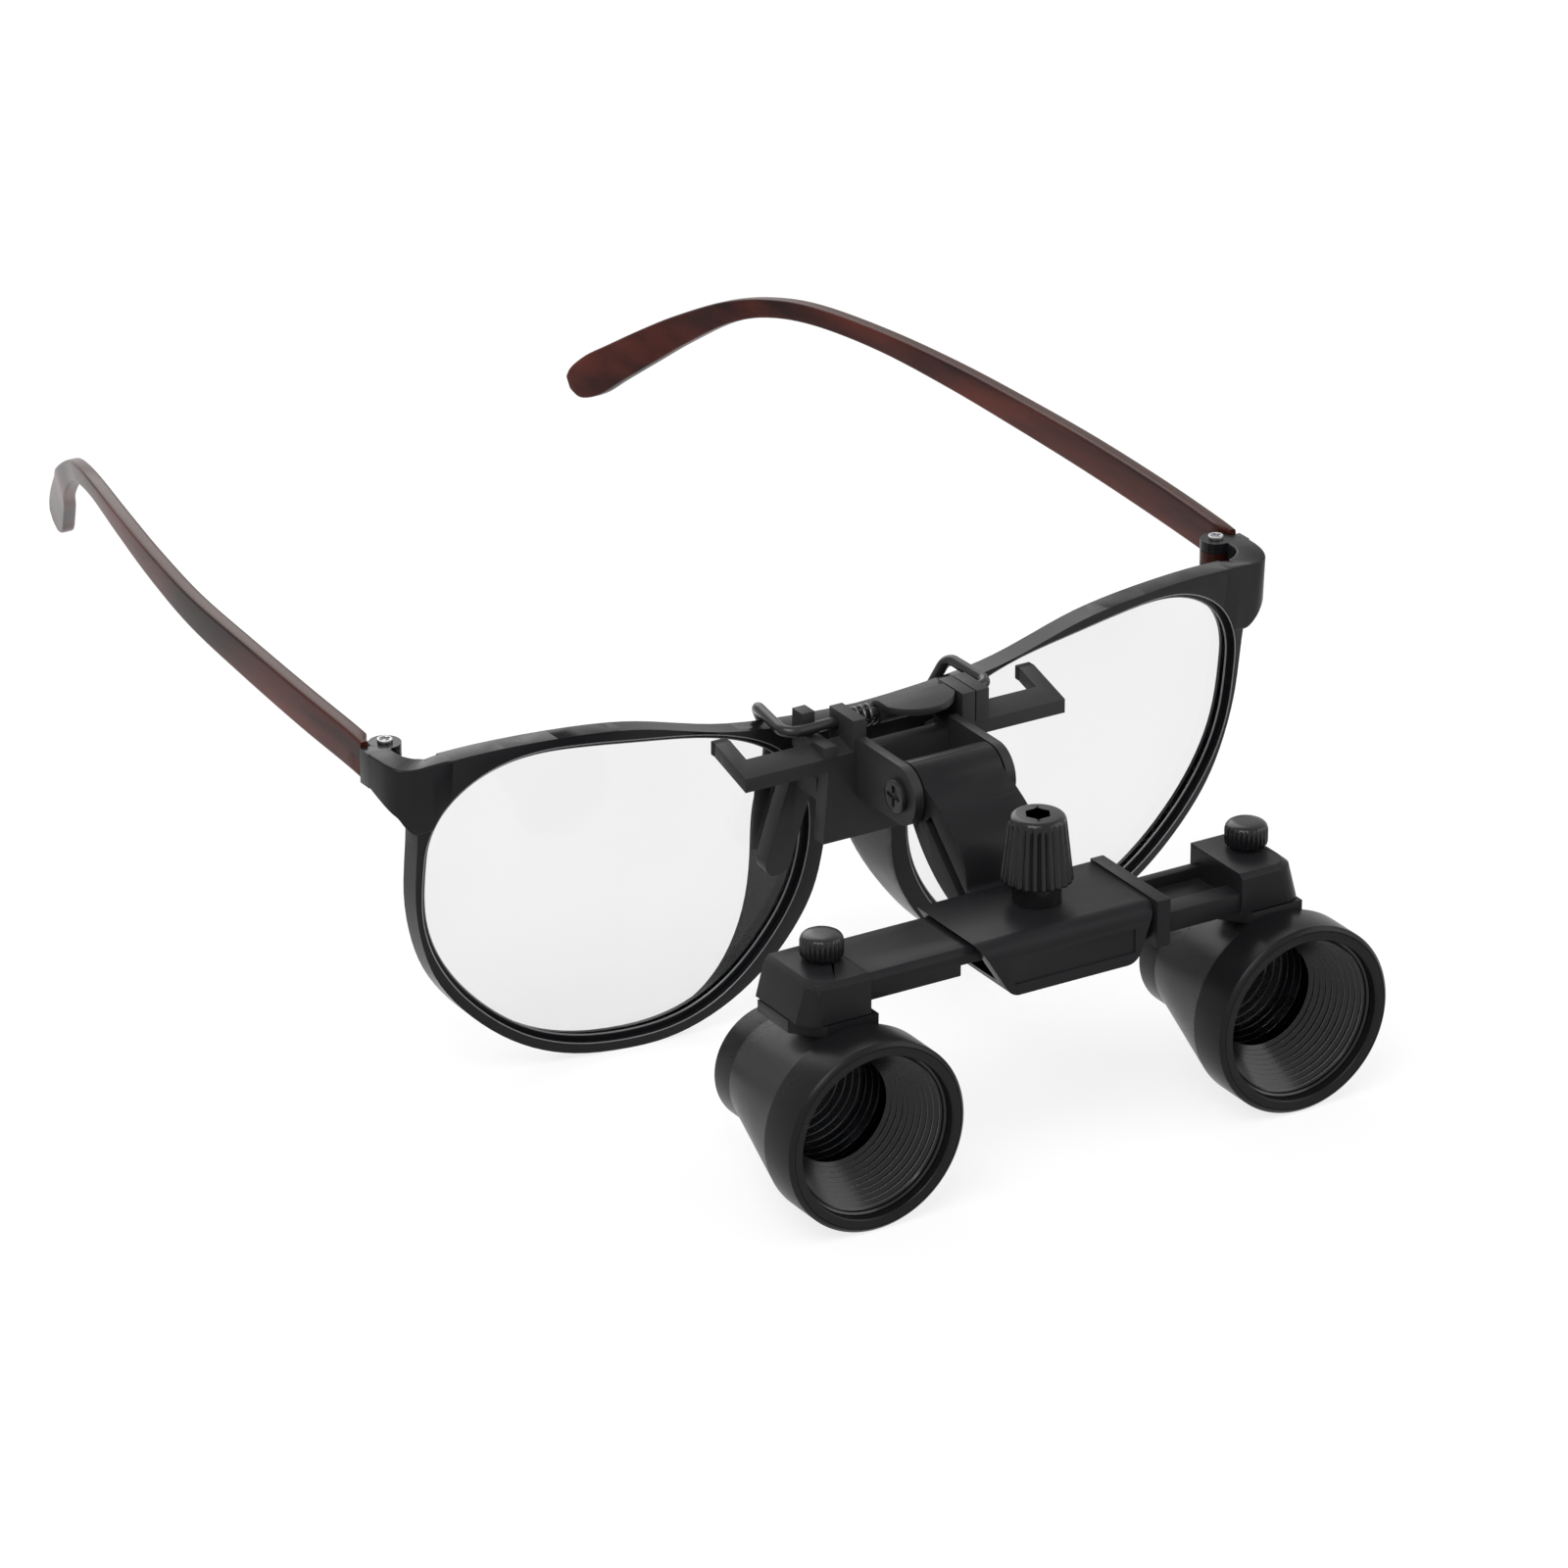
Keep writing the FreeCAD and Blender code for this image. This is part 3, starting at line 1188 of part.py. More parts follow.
def lens_solid(label, x, radius, start, thickness, bulge, bulge_way):
    """A round glass with one domed face."""
    play = number("seat_play")
    edge_radius = number(radius) - play
    low = number(start) + play
    high = number(start) + number(thickness) - play
    flat, domed = (low, high) if bulge_way > 0 else (high, low)
    rise = number(bulge)
    sphere = (edge_radius ** 2 + rise ** 2) / (2 * rise)
    bend = math.asin(edge_radius / sphere) / 2
    crown = FreeCAD.Vector(0, 0, domed + bulge_way * rise)
    middle = FreeCAD.Vector(sphere * math.sin(bend), 0, crown.z - bulge_way * sphere * (1 - math.cos(bend)))
    centre = FreeCAD.Vector(0, 0, flat)
    flat_rim, domed_rim = FreeCAD.Vector(edge_radius, 0, flat), FreeCAD.Vector(edge_radius, 0, domed)
    edges = [Part.makeLine(centre, flat_rim), Part.makeLine(flat_rim, domed_rim),
             Part.Arc(domed_rim, middle, crown).toShape(), Part.makeLine(crown, centre)]
    glass = Part.Face(Part.Wire(edges)).revolve(FreeCAD.Vector(), FreeCAD.Vector(0, 0, 1), 360)
    plain(label, glass, x=x, y="0 - barrel_back", z="0 - barrel_drop", rotation=along_minus_y)


def baffle(label, x):
    """The blackened funnel before the objective that stops stray light."""
    end = "barrel_length - ring_depth - seat_play"
    outer = "tube_radius - seat_play"
    body = turned(label, [
        ("baffle_rear", "tube_start + seat_play"), (outer, "tube_start + seat_play"), (outer, end),
        ("baffle_front", end), ("baffle_front", end + " - baffle_land")])
    doc.recompute()
    finish(body, label, x=x, y="0 - barrel_back", z="0 - barrel_drop", rotation=along_minus_y)


def foot_plate(label, side):
    """The thin plate under the end block, with the web that stands on the barrel."""
    middle = side * number("swivel_x")
    top = -number("foot_top")
    half, nose_half = number("foot_half"), number("foot_nose_half")
    nose, shoulder, rear = -number("foot_nose"), -number("foot_shoulder"), -number("foot_rear")
    outline = [(nose_half, nose), (half, shoulder), (half, rear),
               (-half, rear), (-half, shoulder), (-nose_half, nose)]
    corners = [FreeCAD.Vector(middle + x, y, top) for x, y in outline]
    thick = number("foot_plate")
    solid = Part.Face(Part.makePolygon(corners + corners[:1])).extrude(FreeCAD.Vector(0, 0, -thick))
    web = number("foot_web_half")
    web_low = top - number("foot_web")
    solid = solid.fuse(box_between((middle - web, shoulder, web_low), (middle + web, rear, top - thick / 2)))
    play = number("seat_play")
    forwards = FreeCAD.Vector(0, -1, 0)
    axis = FreeCAD.Vector(side * number("barrel_x"), -number("barrel_back"), -number("barrel_drop"))
    cone = Part.makeCone(number("eye_radius") + play, number("barrel_radius") + play, number("cone_length"),
                         axis + forwards * number("eye_length"), forwards)
    tube = Part.makeCylinder(number("barrel_radius") + play, number("barrel_length"),
                             axis + forwards * number("eye_length + cone_length"), forwards)
    well_low = -number("lock_stem_bottom") - play
    well = upright(number("lock_stem + shaft_play"), well_low, top, middle, -number("swivel_back"))
    plain(label, solid.cut([cone, tube]).cut(well))


frame_front()
clip_body()
clip_wire()
clip_lever()
torsion_spring()
flip_screw()
flip_nut()
flip_arm()
slide_housing()
housing_end_cap()
arm_left()
arm_right()
pinion_shaft()
pd_knob()
knob_screw()
for side, word in ((-1, "left"), (1, "right")):
    sign = "0 - " if side < 0 else ""
    lens("lens_" + word, side)
    temple("temple_" + word, side)
    hinge_screw("hinge_screw_" + word, HINGE_X if side > 0 else "hinge_inset - front_half")
    clip_pad("clip_pad_" + word, side)
    wire_sleeve("wire_sleeve_" + word, side)
    end_block("end_block_" + word, side)
    lock_knob("lock_knob_" + word, sign + "swivel_x")
    foot_plate("foot_plate_" + word, side)
    barrel("barrel_" + word, sign + "barrel_x")
    axis_x = sign + "barrel_x"
    ring("objective_ring_" + word, axis_x, "ring_inner", "ring_radius - seat_play",
         "barrel_length - ring_depth + seat_play", "ring_depth - seat_play")
    ring("eyepiece_ring_" + word, axis_x, "eye_ring_inner", "eye_seat - seat_play", "seat_play",
         "eye_ring_depth")
    lens_solid("objective_lens_" + word, axis_x, "objective_radius", "objective_start", "objective_thickness",
               "objective_bulge", 1)
    lens_solid("eyepiece_lens_" + word, axis_x, "eye_seat", "eye_ring_depth + seat_play + eye_bulge",
               "eye_ring_depth", "eye_bulge", -1)
    baffle("baffle_" + word, axis_x)

doc.recompute()
for item in doc.Objects:
    if "Invalid" in item.State or "Error" in item.State:
        raise ValueError("%s failed" % item.Name)
os.makedirs("parts", exist_ok=True)
for label, piece in sorted(sub_parts.items()):
    shape = piece.Shape
    if shape.isNull() or not shape.isValid():
        raise ValueError("%s has no valid shape" % label)
    print("%s solids %d volume %.1f" % (label, len(shape.Solids), shape.Volume))
    shape.exportStep(os.path.join("parts", label + ".step"))
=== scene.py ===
import json
import math

import bmesh
import bpy
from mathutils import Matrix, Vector


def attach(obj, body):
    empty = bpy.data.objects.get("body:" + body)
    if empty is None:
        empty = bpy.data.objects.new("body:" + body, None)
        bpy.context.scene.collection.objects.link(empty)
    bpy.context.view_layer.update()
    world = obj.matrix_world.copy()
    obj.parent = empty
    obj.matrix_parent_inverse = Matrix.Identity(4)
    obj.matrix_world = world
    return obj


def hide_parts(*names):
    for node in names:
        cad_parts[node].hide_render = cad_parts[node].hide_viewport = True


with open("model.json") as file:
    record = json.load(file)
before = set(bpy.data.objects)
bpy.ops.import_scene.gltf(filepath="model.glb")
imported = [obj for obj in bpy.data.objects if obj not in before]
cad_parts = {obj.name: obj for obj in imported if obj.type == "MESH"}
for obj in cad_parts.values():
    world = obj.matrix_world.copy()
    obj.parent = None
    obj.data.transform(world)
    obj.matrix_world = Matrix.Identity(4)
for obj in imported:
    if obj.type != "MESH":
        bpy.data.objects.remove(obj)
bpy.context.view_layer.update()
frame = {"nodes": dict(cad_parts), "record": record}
nodes = frame["nodes"]
record = frame["record"]
bodyOf = {node: body for body, members in record["behaviour"]["bodies"].items() for node in members}
slotOf = {entry["node"]: entry["material_slot"] for entry in record["subparts"]}
print("frame loaded,", len(nodes), "nodes")

mm = 0.001
bothSides = ((-1, "left"), (1, "right"))
# where the lock knobs and bores stand to either side, in millimetres
lockAxis = 33.2

# materials


def newSocket(group, name, direction, kind, value=None):
    socket = group.interface.new_socket(name=name, in_out=direction, socket_type=kind)
    if value is not None:
        socket.default_value = value
    return socket


def finishGroup():
    # fine moulded or blasted surface: two noises give a roughness spread, a colour spread and a bump height
    group = bpy.data.node_groups.new("surfaceFinish", "ShaderNodeTree")
    newSocket(group, "Grain Size", "INPUT", "NodeSocketFloat", 900.0)
    newSocket(group, "Patch Size", "INPUT", "NodeSocketFloat", 60.0)
    newSocket(group, "Rough Low", "INPUT", "NodeSocketFloat", 0.3)
    newSocket(group, "Rough High", "INPUT", "NodeSocketFloat", 0.4)
    newSocket(group, "Colour A", "INPUT", "NodeSocketColor", (0.02, 0.02, 0.02, 1))
    newSocket(group, "Colour B", "INPUT", "NodeSocketColor", (0.03, 0.03, 0.03, 1))
    newSocket(group, "Colour", "OUTPUT", "NodeSocketColor")
    newSocket(group, "Roughness", "OUTPUT", "NodeSocketFloat")
    newSocket(group, "Height", "OUTPUT", "NodeSocketFloat")
    make = group.nodes.new
    link = group.links.new
    inlet = make("NodeGroupInput")
    outlet = make("NodeGroupOutput")
    place = make("ShaderNodeTexCoord")
    grain = make("ShaderNodeTexNoise")
    patch = make("ShaderNodeTexNoise")
    grain.inputs["Detail"].default_value = 3
    patch.inputs["Detail"].default_value = 2
    link(place.outputs["Object"], grain.inputs["Vector"])
    link(place.outputs["Object"], patch.inputs["Vector"])
    link(inlet.outputs["Grain Size"], grain.inputs["Scale"])
    link(inlet.outputs["Patch Size"], patch.inputs["Scale"])
    spread = make("ShaderNodeMapRange")
    spread.inputs["From Min"].default_value = 0.35
    spread.inputs["From Max"].default_value = 0.65
    link(patch.outputs["Fac"], spread.inputs["Value"])
    link(inlet.outputs["Rough Low"], spread.inputs["To Min"])
    link(inlet.outputs["Rough High"], spread.inputs["To Max"])
    mix = make("ShaderNodeMix")
    mix.data_type = "RGBA"
    link(patch.outputs["Fac"], mix.inputs["Factor"])
    link(inlet.outputs["Colour A"], mix.inputs["A"])
    link(inlet.outputs["Colour B"], mix.inputs["B"])
    link(mix.outputs["Result"], outlet.inputs["Colour"])
    link(spread.outputs["Result"], outlet.inputs["Roughness"])
    link(grain.outputs["Fac"], outlet.inputs["Height"])
    return group


surfaceFinish = finishGroup()

# what a look has where it doesn't say otherwise: noise scales, the bump's strength and depth in millimetres
usualLook = {
    "grain": 2500, "patch": 80, "bump": 0.1, "bumpDepth": 0.05, "metallic": 0, "specular": 0.5, "ior": 1.5,
}


def finishedMaterial(name, look):
    # one Principled shader with the shared finish: look gives its two colours, roughness, grain and gloss
    look = {**usualLook, **look}
    material = bpy.data.materials.new(name)
    material.use_nodes = True
    tree = material.node_tree
    shader = tree.nodes["Principled BSDF"]
    finish = tree.nodes.new("ShaderNodeGroup")
    finish.node_tree = surfaceFinish
    finish.inputs["Colour A"].default_value = (*look["colourA"], 1)
    finish.inputs["Colour B"].default_value = (*look["colourB"], 1)
    finish.inputs["Rough Low"].default_value = look["rough"][0]
    finish.inputs["Rough High"].default_value = look["rough"][1]
    finish.inputs["Grain Size"].default_value = look["grain"]
    finish.inputs["Patch Size"].default_value = look["patch"]
    bump = tree.nodes.new("ShaderNodeBump")
    bump.inputs["Strength"].default_value = look["bump"]
    bump.inputs["Distance"].default_value = look["bumpDepth"] * mm
    tree.links.new(finish.outputs["Colour"], shader.inputs["Base Color"])
    tree.links.new(finish.outputs["Roughness"], shader.inputs["Roughness"])
    tree.links.new(finish.outputs["Height"], bump.inputs["Height"])
    tree.links.new(bump.outputs["Normal"], shader.inputs["Normal"])
    shader.inputs["Metallic"].default_value = look["metallic"]
    shader.inputs["Specular IOR Level"].default_value = look["specular"]
    shader.inputs["IOR"].default_value = look["ior"]
    return material


looks = {
    "front_plastic": {"colourA": (0.006, 0.006, 0.007), "colourB": (0.010, 0.010, 0.011),
                      "rough": (0.20, 0.27), "grain": 3000, "bump": 0.04, "specular": 0.14},
    "screw_steel": {"colourA": (0.30, 0.30, 0.31), "colourB": (0.40, 0.40, 0.41),
                    "rough": (0.24, 0.36), "metallic": 1.0},
    "clip_plastic": {"colourA": (0.010, 0.010, 0.011), "colourB": (0.017, 0.017, 0.018),
                     "rough": (0.42, 0.55), "grain": 4000, "bump": 0.25, "specular": 0.22},
    "pad_rubber": {"colourA": (0.008, 0.008, 0.009), "colourB": (0.014, 0.014, 0.015),
                   "rough": (0.6, 0.75), "grain": 3000, "bump": 0.2, "specular": 0.18},
    "wire_steel": {"colourA": (0.006, 0.006, 0.007), "colourB": (0.012, 0.012, 0.013),
                   "rough": (0.2, 0.3), "bump": 0.05, "specular": 0.3},
    "black_screw": {"colourA": (0.008, 0.008, 0.009), "colourB": (0.014, 0.014, 0.015),
                    "rough": (0.28, 0.38), "specular": 0.25},
    "spring_steel": {"colourA": (0.05, 0.05, 0.052), "colourB": (0.09, 0.09, 0.093),
                     "rough": (0.22, 0.32), "metallic": 1.0, "bump": 0.05},
    # a light grey for narrow bands and thin lines where highlights fall: painted highlight on thread crests
    # and round the lenses
    "painted_edge_highlight": {"colourA": (0.10, 0.10, 0.103), "colourB": (0.15, 0.15, 0.155),
                  "rough": (0.3, 0.36), "grain": 300, "bump": 0.01},
    "arm_metal": {"colourA": (0.007, 0.007, 0.008), "colourB": (0.012, 0.012, 0.013),
                  "rough": (0.32, 0.42), "grain": 5000, "bump": 0.2, "specular": 0.09},
    "knob_metal": {"colourA": (0.005, 0.005, 0.006), "colourB": (0.010, 0.010, 0.011),
                   "rough": (0.19, 0.26), "grain": 5000, "bump": 0.06, "specular": 0.24},
    "pinion_brass": {"colourA": (0.60, 0.45, 0.18), "colourB": (0.72, 0.56, 0.26),
                     "rough": (0.25, 0.4), "metallic": 1.0, "bump": 0.05},
    "barrel_metal": {"colourA": (0.005, 0.005, 0.0055), "colourB": (0.009, 0.009, 0.010),
                     "rough": (0.26, 0.34), "grain": 5000, "specular": 0.12},
    "baffle_black": {"colourA": (0.003, 0.003, 0.0035), "colourB": (0.006, 0.006, 0.0065),
                     "rough": (0.16, 0.24), "grain": 4000, "bump": 0.05, "specular": 0.3},
}
materials = {slot: finishedMaterial(slot, look) for slot, look in looks.items()}


# faces looking up get a greyer brown mixed in: a painted reflection, not the plastic's own colour
templeLook = {
    "streaks": (160, 22, 160), "detail": 4, "darkAt": 0.36, "dark": (0.012, 0.0032, 0.0025, 1),
    "brownAt": 0.68, "brown": (0.075, 0.014, 0.009, 1), "reflectionFrom": 0.75, "reflectionTo": 0.95,
    "paintedReflectionColour": (0.045, 0.018, 0.013, 1), "rough": 0.26, "specular": 0.14,
    "inner": 0.1, "innerReach": (2.0, 0.8, 0.5),
}


def templeMaterial():
    # dark brown plastic with long streaks, a painted reflection that greys the faces looking up, and a little
    # light under its skin
    material = bpy.data.materials.new("temple_plastic")
    material.use_nodes = True
    tree = material.node_tree
    shader = tree.nodes["Principled BSDF"]
    place = tree.nodes.new("ShaderNodeTexCoord")
    stretch = tree.nodes.new("ShaderNodeMapping")
    stretch.inputs["Scale"].default_value = templeLook["streaks"]
    streak = tree.nodes.new("ShaderNodeTexNoise")
    streak.inputs["Scale"].default_value = 1.0
    streak.inputs["Detail"].default_value = templeLook["detail"]
    ramp = tree.nodes.new("ShaderNodeValToRGB")
    ramp.color_ramp.elements[0].position = templeLook["darkAt"]
    ramp.color_ramp.elements[0].color = templeLook["dark"]
    ramp.color_ramp.elements[1].position = templeLook["brownAt"]
    ramp.color_ramp.elements[1].color = templeLook["brown"]
    tree.links.new(place.outputs["Object"], stretch.inputs["Vector"])
    tree.links.new(stretch.outputs["Vector"], streak.inputs["Vector"])
    tree.links.new(streak.outputs["Fac"], ramp.inputs["Fac"])
    # painted reflection: the upward share of the normal mixes a greyer colour over the streaks
    reflectionNormal = tree.nodes.new("ShaderNodeNewGeometry")
    split = tree.nodes.new("ShaderNodeSeparateXYZ")
    upward = tree.nodes.new("ShaderNodeMapRange")
    upward.inputs["From Min"].default_value = templeLook["reflectionFrom"]
    upward.inputs["From Max"].default_value = templeLook["reflectionTo"]
    tint = tree.nodes.new("ShaderNodeMix")
    tint.data_type = "RGBA"
    tint.inputs["B"].default_value = templeLook["paintedReflectionColour"]
    tree.links.new(reflectionNormal.outputs["Normal"], split.inputs["Vector"])
    tree.links.new(split.outputs["Z"], upward.inputs["Value"])
    tree.links.new(upward.outputs["Result"], tint.inputs["Factor"])
    tree.links.new(ramp.outputs["Color"], tint.inputs["A"])
    tree.links.new(tint.outputs["Result"], shader.inputs["Base Color"])
    shader.inputs["Roughness"].default_value = templeLook["rough"]
    shader.inputs["Specular IOR Level"].default_value = templeLook["specular"]
    shader.inputs["Subsurface Weight"].default_value = templeLook["inner"]
    shader.inputs["Subsurface Radius"].default_value = [reach * mm for reach in templeLook["innerReach"]]
    return material


glassLooks = {
    "clear_lens": {"colour": (0.80, 0.80, 0.803), "rough": 0.0, "ior": 1.1, "coat": 0.2},
    "optic_glass": {"colour": (0.55, 0.56, 0.60), "rough": 0.04, "ior": 1.12, "coat": 0.0},
}
# how far a glass's tint and roughness drift over its surface, and the scale of that drift
glassDrift = {"tint": 1.1, "rough": 0.01, "patch": 30}


def glassMaterial(name, look):
    # tinted glass with the shared finish's slow drift
    material = bpy.data.materials.new(name)
    material.use_nodes = True
    tree = material.node_tree
    shader = tree.nodes["Principled BSDF"]
    finish = tree.nodes.new("ShaderNodeGroup")
    finish.node_tree = surfaceFinish
    drifted = [min(1, part * glassDrift["tint"]) for part in look["colour"]]
    finish.inputs["Colour A"].default_value = (*look["colour"], 1)
    finish.inputs["Colour B"].default_value = (*drifted, 1)
    finish.inputs["Rough Low"].default_value = look["rough"]
    finish.inputs["Rough High"].default_value = look["rough"] + glassDrift["rough"]
    finish.inputs["Patch Size"].default_value = glassDrift["patch"]
    tree.links.new(finish.outputs["Colour"], shader.inputs["Base Color"])
    tree.links.new(finish.outputs["Roughness"], shader.inputs["Roughness"])
    shader.inputs["Transmission Weight"].default_value = 1
    shader.inputs["IOR"].default_value = look["ior"]
    shader.inputs["Coat Weight"].default_value = look["coat"]
    return material


materials["temple_plastic"] = templeMaterial()
for slot, look in glassLooks.items():
    materials[slot] = glassMaterial(slot, look)
print("materials made,", len(materials))

# pieces

# edges that turn by more degrees than this get a round
sharpAngle = 36
# a cutting plane takes points this near as lying on it
cutReach = 0.001 * mm


def roundEdges(bm, edges, width, segments=2):
    bmesh.ops.bevel(bm, geom=edges, offset=width * mm, offset_type="OFFSET", segments=segments, profile=0.5,
                    affect="EDGES", clamp_overlap=True, material=-1)


def soften(bm, width, shortest=0.0, degrees=sharpAngle, segments=2, chosen=None):
    # a small round on every long edge sharper than the angle
    sharp = [edge for edge in bm.edges
             if len(edge.link_faces) == 2 and edge.calc_face_angle() > math.radians(degrees)
             and edge.calc_length() > shortest * mm and (chosen is None or chosen(edge))]
    if sharp:
        roundEdges(bm, sharp, width, segments)


def shade(bm, degrees=32):
    # smooth faces that meet at a sharp line where the angle is large
    for face in bm.faces:
        face.smooth = True
    for edge in bm.edges:
        edge.smooth = len(edge.link_faces) == 2 and edge.calc_face_angle() < math.radians(degrees)


def keepPiece(name, bm, node, *extraMaterials):
    # the finished mesh takes the node's place, slot and body
    mesh = bpy.data.meshes.new(name)
    bm.to_mesh(mesh)
    bm.free()
    mesh.materials.append(materials[slotOf[node]])
    for extra in extraMaterials:
        mesh.materials.append(extra)
    piece = bpy.data.objects.new(name, mesh)
    bpy.context.scene.collection.objects.link(piece)
    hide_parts(node)
    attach(piece, bodyOf[node])
    return piece


def mergedCopy(node):
    # the CAD solid with its flat faces whole again
    bm = bmesh.new()
    bm.from_mesh(nodes[node].data)
    bmesh.ops.remove_doubles(bm, verts=bm.verts, dist=0.004 * mm)
    bmesh.ops.dissolve_degenerate(bm, edges=bm.edges, dist=0.002 * mm)
    bmesh.ops.dissolve_limit(bm, angle_limit=math.radians(0.6), verts=bm.verts, edges=bm.edges)
    return bm


# round of the edges in millimetres and the shortest edge that gets one
dressed = {
    "clip_body": (0.22, 0.9), "clip_lever": (0.15, 0), "flip_arm": (0.25, 0), "slide_housing": (0.18, 0.6),
    "housing_end_cap": (0.12, 0.4), "arm_left": (0.15, 2.5), "arm_right": (0.15, 2.5),
    "flip_hinge_screw": (0.12, 0), "flip_hinge_nut": (0.15, 0), "hinge_screw_left": (0.06, 0),
    "hinge_screw_right": (0.06, 0), "knob_set_screw": (0.08, 0),
    "clip_pad_left": (0.1, 0), "clip_pad_right": (0.1, 0),
    "wire_sleeve_left": (0.15, 0), "wire_sleeve_right": (0.15, 0),
}
keel = {"end": -19.95, "reach": 0.1, "into": -16.4}

for node, (width, shortest) in dressed.items():
    copy = mergedCopy(node)
    if node == "arm_left":
        # the keel under the upper slide runs on into the housing
        for vert in copy.verts:
            if abs(vert.co.x - keel["end"] * mm) < keel["reach"] * mm:
                vert.co.x = keel["into"] * mm
    soften(copy, width, shortest)
    shade(copy)
    keepPiece(node + "_finished", copy, node)
print("pieces dressed,", len(dressed))

# frame front

# millimetres in the frame of the temple joints; bow is twice the radius of the front's curve
# a corner station is its outer x and y, its inner x and y, its top and its low
# a line, a painted highlight round a lens, is its inset from the lens outline, its depth behind the face and
# its radius
front = {
    "shiftY": -32.0, "shiftZ": 50.3, "bow": 678.0, "face": -15.7, "lean": 0.14, "leanGain": 1.125,
    "cutX": 62.0, "cutZ": -10.06, "cutY": -2.5, "round": 0.35, "edgeRound": 0.3, "shortEdge": 0.5,
    "openingRoom": 0.15, "lipRoom": -0.55, "lipKept": 0.8, "rimKept": 1.7, "cornerSteps": 8, "lineSides": 6,
    "corner": ((69.9, -2.5, 66.4, -2.5, 0, -4.9), (69.8, -4.5, 66.4, -3.9, 0, -5.6),
               (69.6, -6.2, 66.1, -4.9, -0.1, -6.3), (69.2, -7.5, 65.5, -5.5, -0.25, -7.0),
               (68.6, -8.4, 64.9, -5.85, -0.4, -7.7), (67.6, -8.95, 64.2, -6.05, -0.5, -9.2),
               (66.2, -9.24, 63.6, -6.5, -0.5, -10.5), (64.5, -9.56, 62.8, -6.68, -0.27, -10.5),
               (61.8, -10.0, 61.4, -6.9, -0.02, -10.5), (60.2, -10.1, 60.0, -7.2, -0.2, -10.5)),
    "lines": ((0.68, 1.25, 0.14), (-0.14, 0.05, 0.09)),
}
belowAll = -99.0


def fromHinge(x, y, z):
    # from the temple hinge frame in millimetres to the model frame
    return Vector((x * mm, (y + front["shiftY"]) * mm, (z + front["shiftZ"]) * mm))


def between(rows, steps):
    # a smooth run through all rows
    last = len(rows) - 1
    run = []
    for at in range(last):
        four = [rows[min(max(at + k, 0), last)] for k in (-1, 0, 1, 2)]
        for step in range(steps):
            t = step / steps
            run.append(tuple(0.5 * (2 * b + (c - a) * t + (2 * a - 5 * b + 4 * c - d) * t * t
                                    + (3 * b - a - 3 * c + d) * t ** 3) for a, b, c, d in zip(*four)))
    return run + [tuple(float(value) for value in rows[last])]


def openingTop(rim, x):
    # height of the upper edge of the opening at a distance from the middle plane, far below beyond its side
    (middleX, middleZ), polar = rim
    room = front["openingRoom"] * mm
    points = [(abs(middleX + (r + room) * math.cos(a)) / mm, (middleZ + (r + room) * math.sin(a)) / mm)
              for a, r in polar if math.sin(a) > -0.1 and middleX * math.cos(a) > 0]
    points.sort()
    for (xa, za), (xb, zb) in zip(points, points[1:]):
        if xa <= x <= xb:
            return za + (zb - za) * (x - xa) / max(xb - xa, 1e-6) - front["shiftZ"]
    return belowAll


def roundedRing(bm, corners, radius, steps=4):
    # a closed ring through the corners, each one rounded off
    ring = []
    for at, corner in enumerate(corners):
        before, after = corners[at - 1] - corner, corners[(at + 1) % len(corners)] - corner
        one = corner + before * min(0.45, radius * mm / max(before.length, 1e-9))
        two = corner + after * min(0.45, radius * mm / max(after.length, 1e-9))
        for step in range(steps + 1):
            t = step / steps
            ring.append(bm.verts.new(one * (1 - t) ** 2 + corner * 2 * t * (1 - t) + two * t * t))
    return ring


def skin(bm, rings):
    # walls between rings of the same count, and a face at each end
    faces = [bm.faces.new(rings[0]), bm.faces.new(rings[-1][::-1])]
    count = len(rings[0])
    for one, two in zip(rings, rings[1:]):
        for k in range(count):
            faces.append(bm.faces.new((one[k], two[k], two[(k + 1) % count], one[(k + 1) % count])))
    bmesh.ops.recalc_face_normals(bm, faces=faces)


def clearOf(rim, place, margin):
    # the place moved out of the lens opening, seen from the front
    middleX, middleZ = rim[0]
    across, rise = place.x - middleX, place.z - middleZ
    reach, least = math.hypot(across, rise), rimRadius(rim, math.atan2(rise, across)) + margin * mm
    if reach >= least:
        return place
    return Vector((middleX + across * least / reach, place.y, middleZ + rise * least / reach))


def addCorner(bm, side, rim):
    # the corner that wraps from the temple joint to the rim, clear of the lens opening
    # its last station lies just inside the solid, so that no step shows
    stations = between(front["corner"], front["cornerSteps"])
    rings = []
    for place, (outX, outY, inX, inY, top, low) in enumerate(stations):
        lean = front["lean"] * min(1.0, front["leanGain"] * place / (len(stations) - 1))
        outLow, inLow = max(low, openingTop(rim, outX)), max(low, openingTop(rim, inX))
        section = ((outX, outY, top), (outX, outY, outLow), (inX, inY, inLow), (inX, inY, top))
        spots = [fromHinge(side * x, y - lean * z, z) for x, y, z in section]
        spots[1] = clearOf(rim, spots[1], front["openingRoom"])
        spots[2] = clearOf(rim, spots[2], front["lipRoom"])
        rings.append(roundedRing(bm, spots, front["round"]))
    skin(bm, rings)


def lensRim(word):
    # the lens outline seen from the front, as angle and radius round its middle
    points = [(vert.co.x, vert.co.z) for vert in nodes["lens_" + word].data.vertices]
    middle = ((min(p[0] for p in points) + max(p[0] for p in points)) / 2,
              (min(p[1] for p in points) + max(p[1] for p in points)) / 2)
    polar = sorted((math.atan2(z - middle[1], x - middle[0]), math.hypot(x - middle[0], z - middle[1]))
                   for x, z in points)
    kept = [polar[0]]
    for angle, radius in polar[1:]:
        if angle - kept[-1][0] > 0.004:
            kept.append((angle, radius))
    return middle, kept


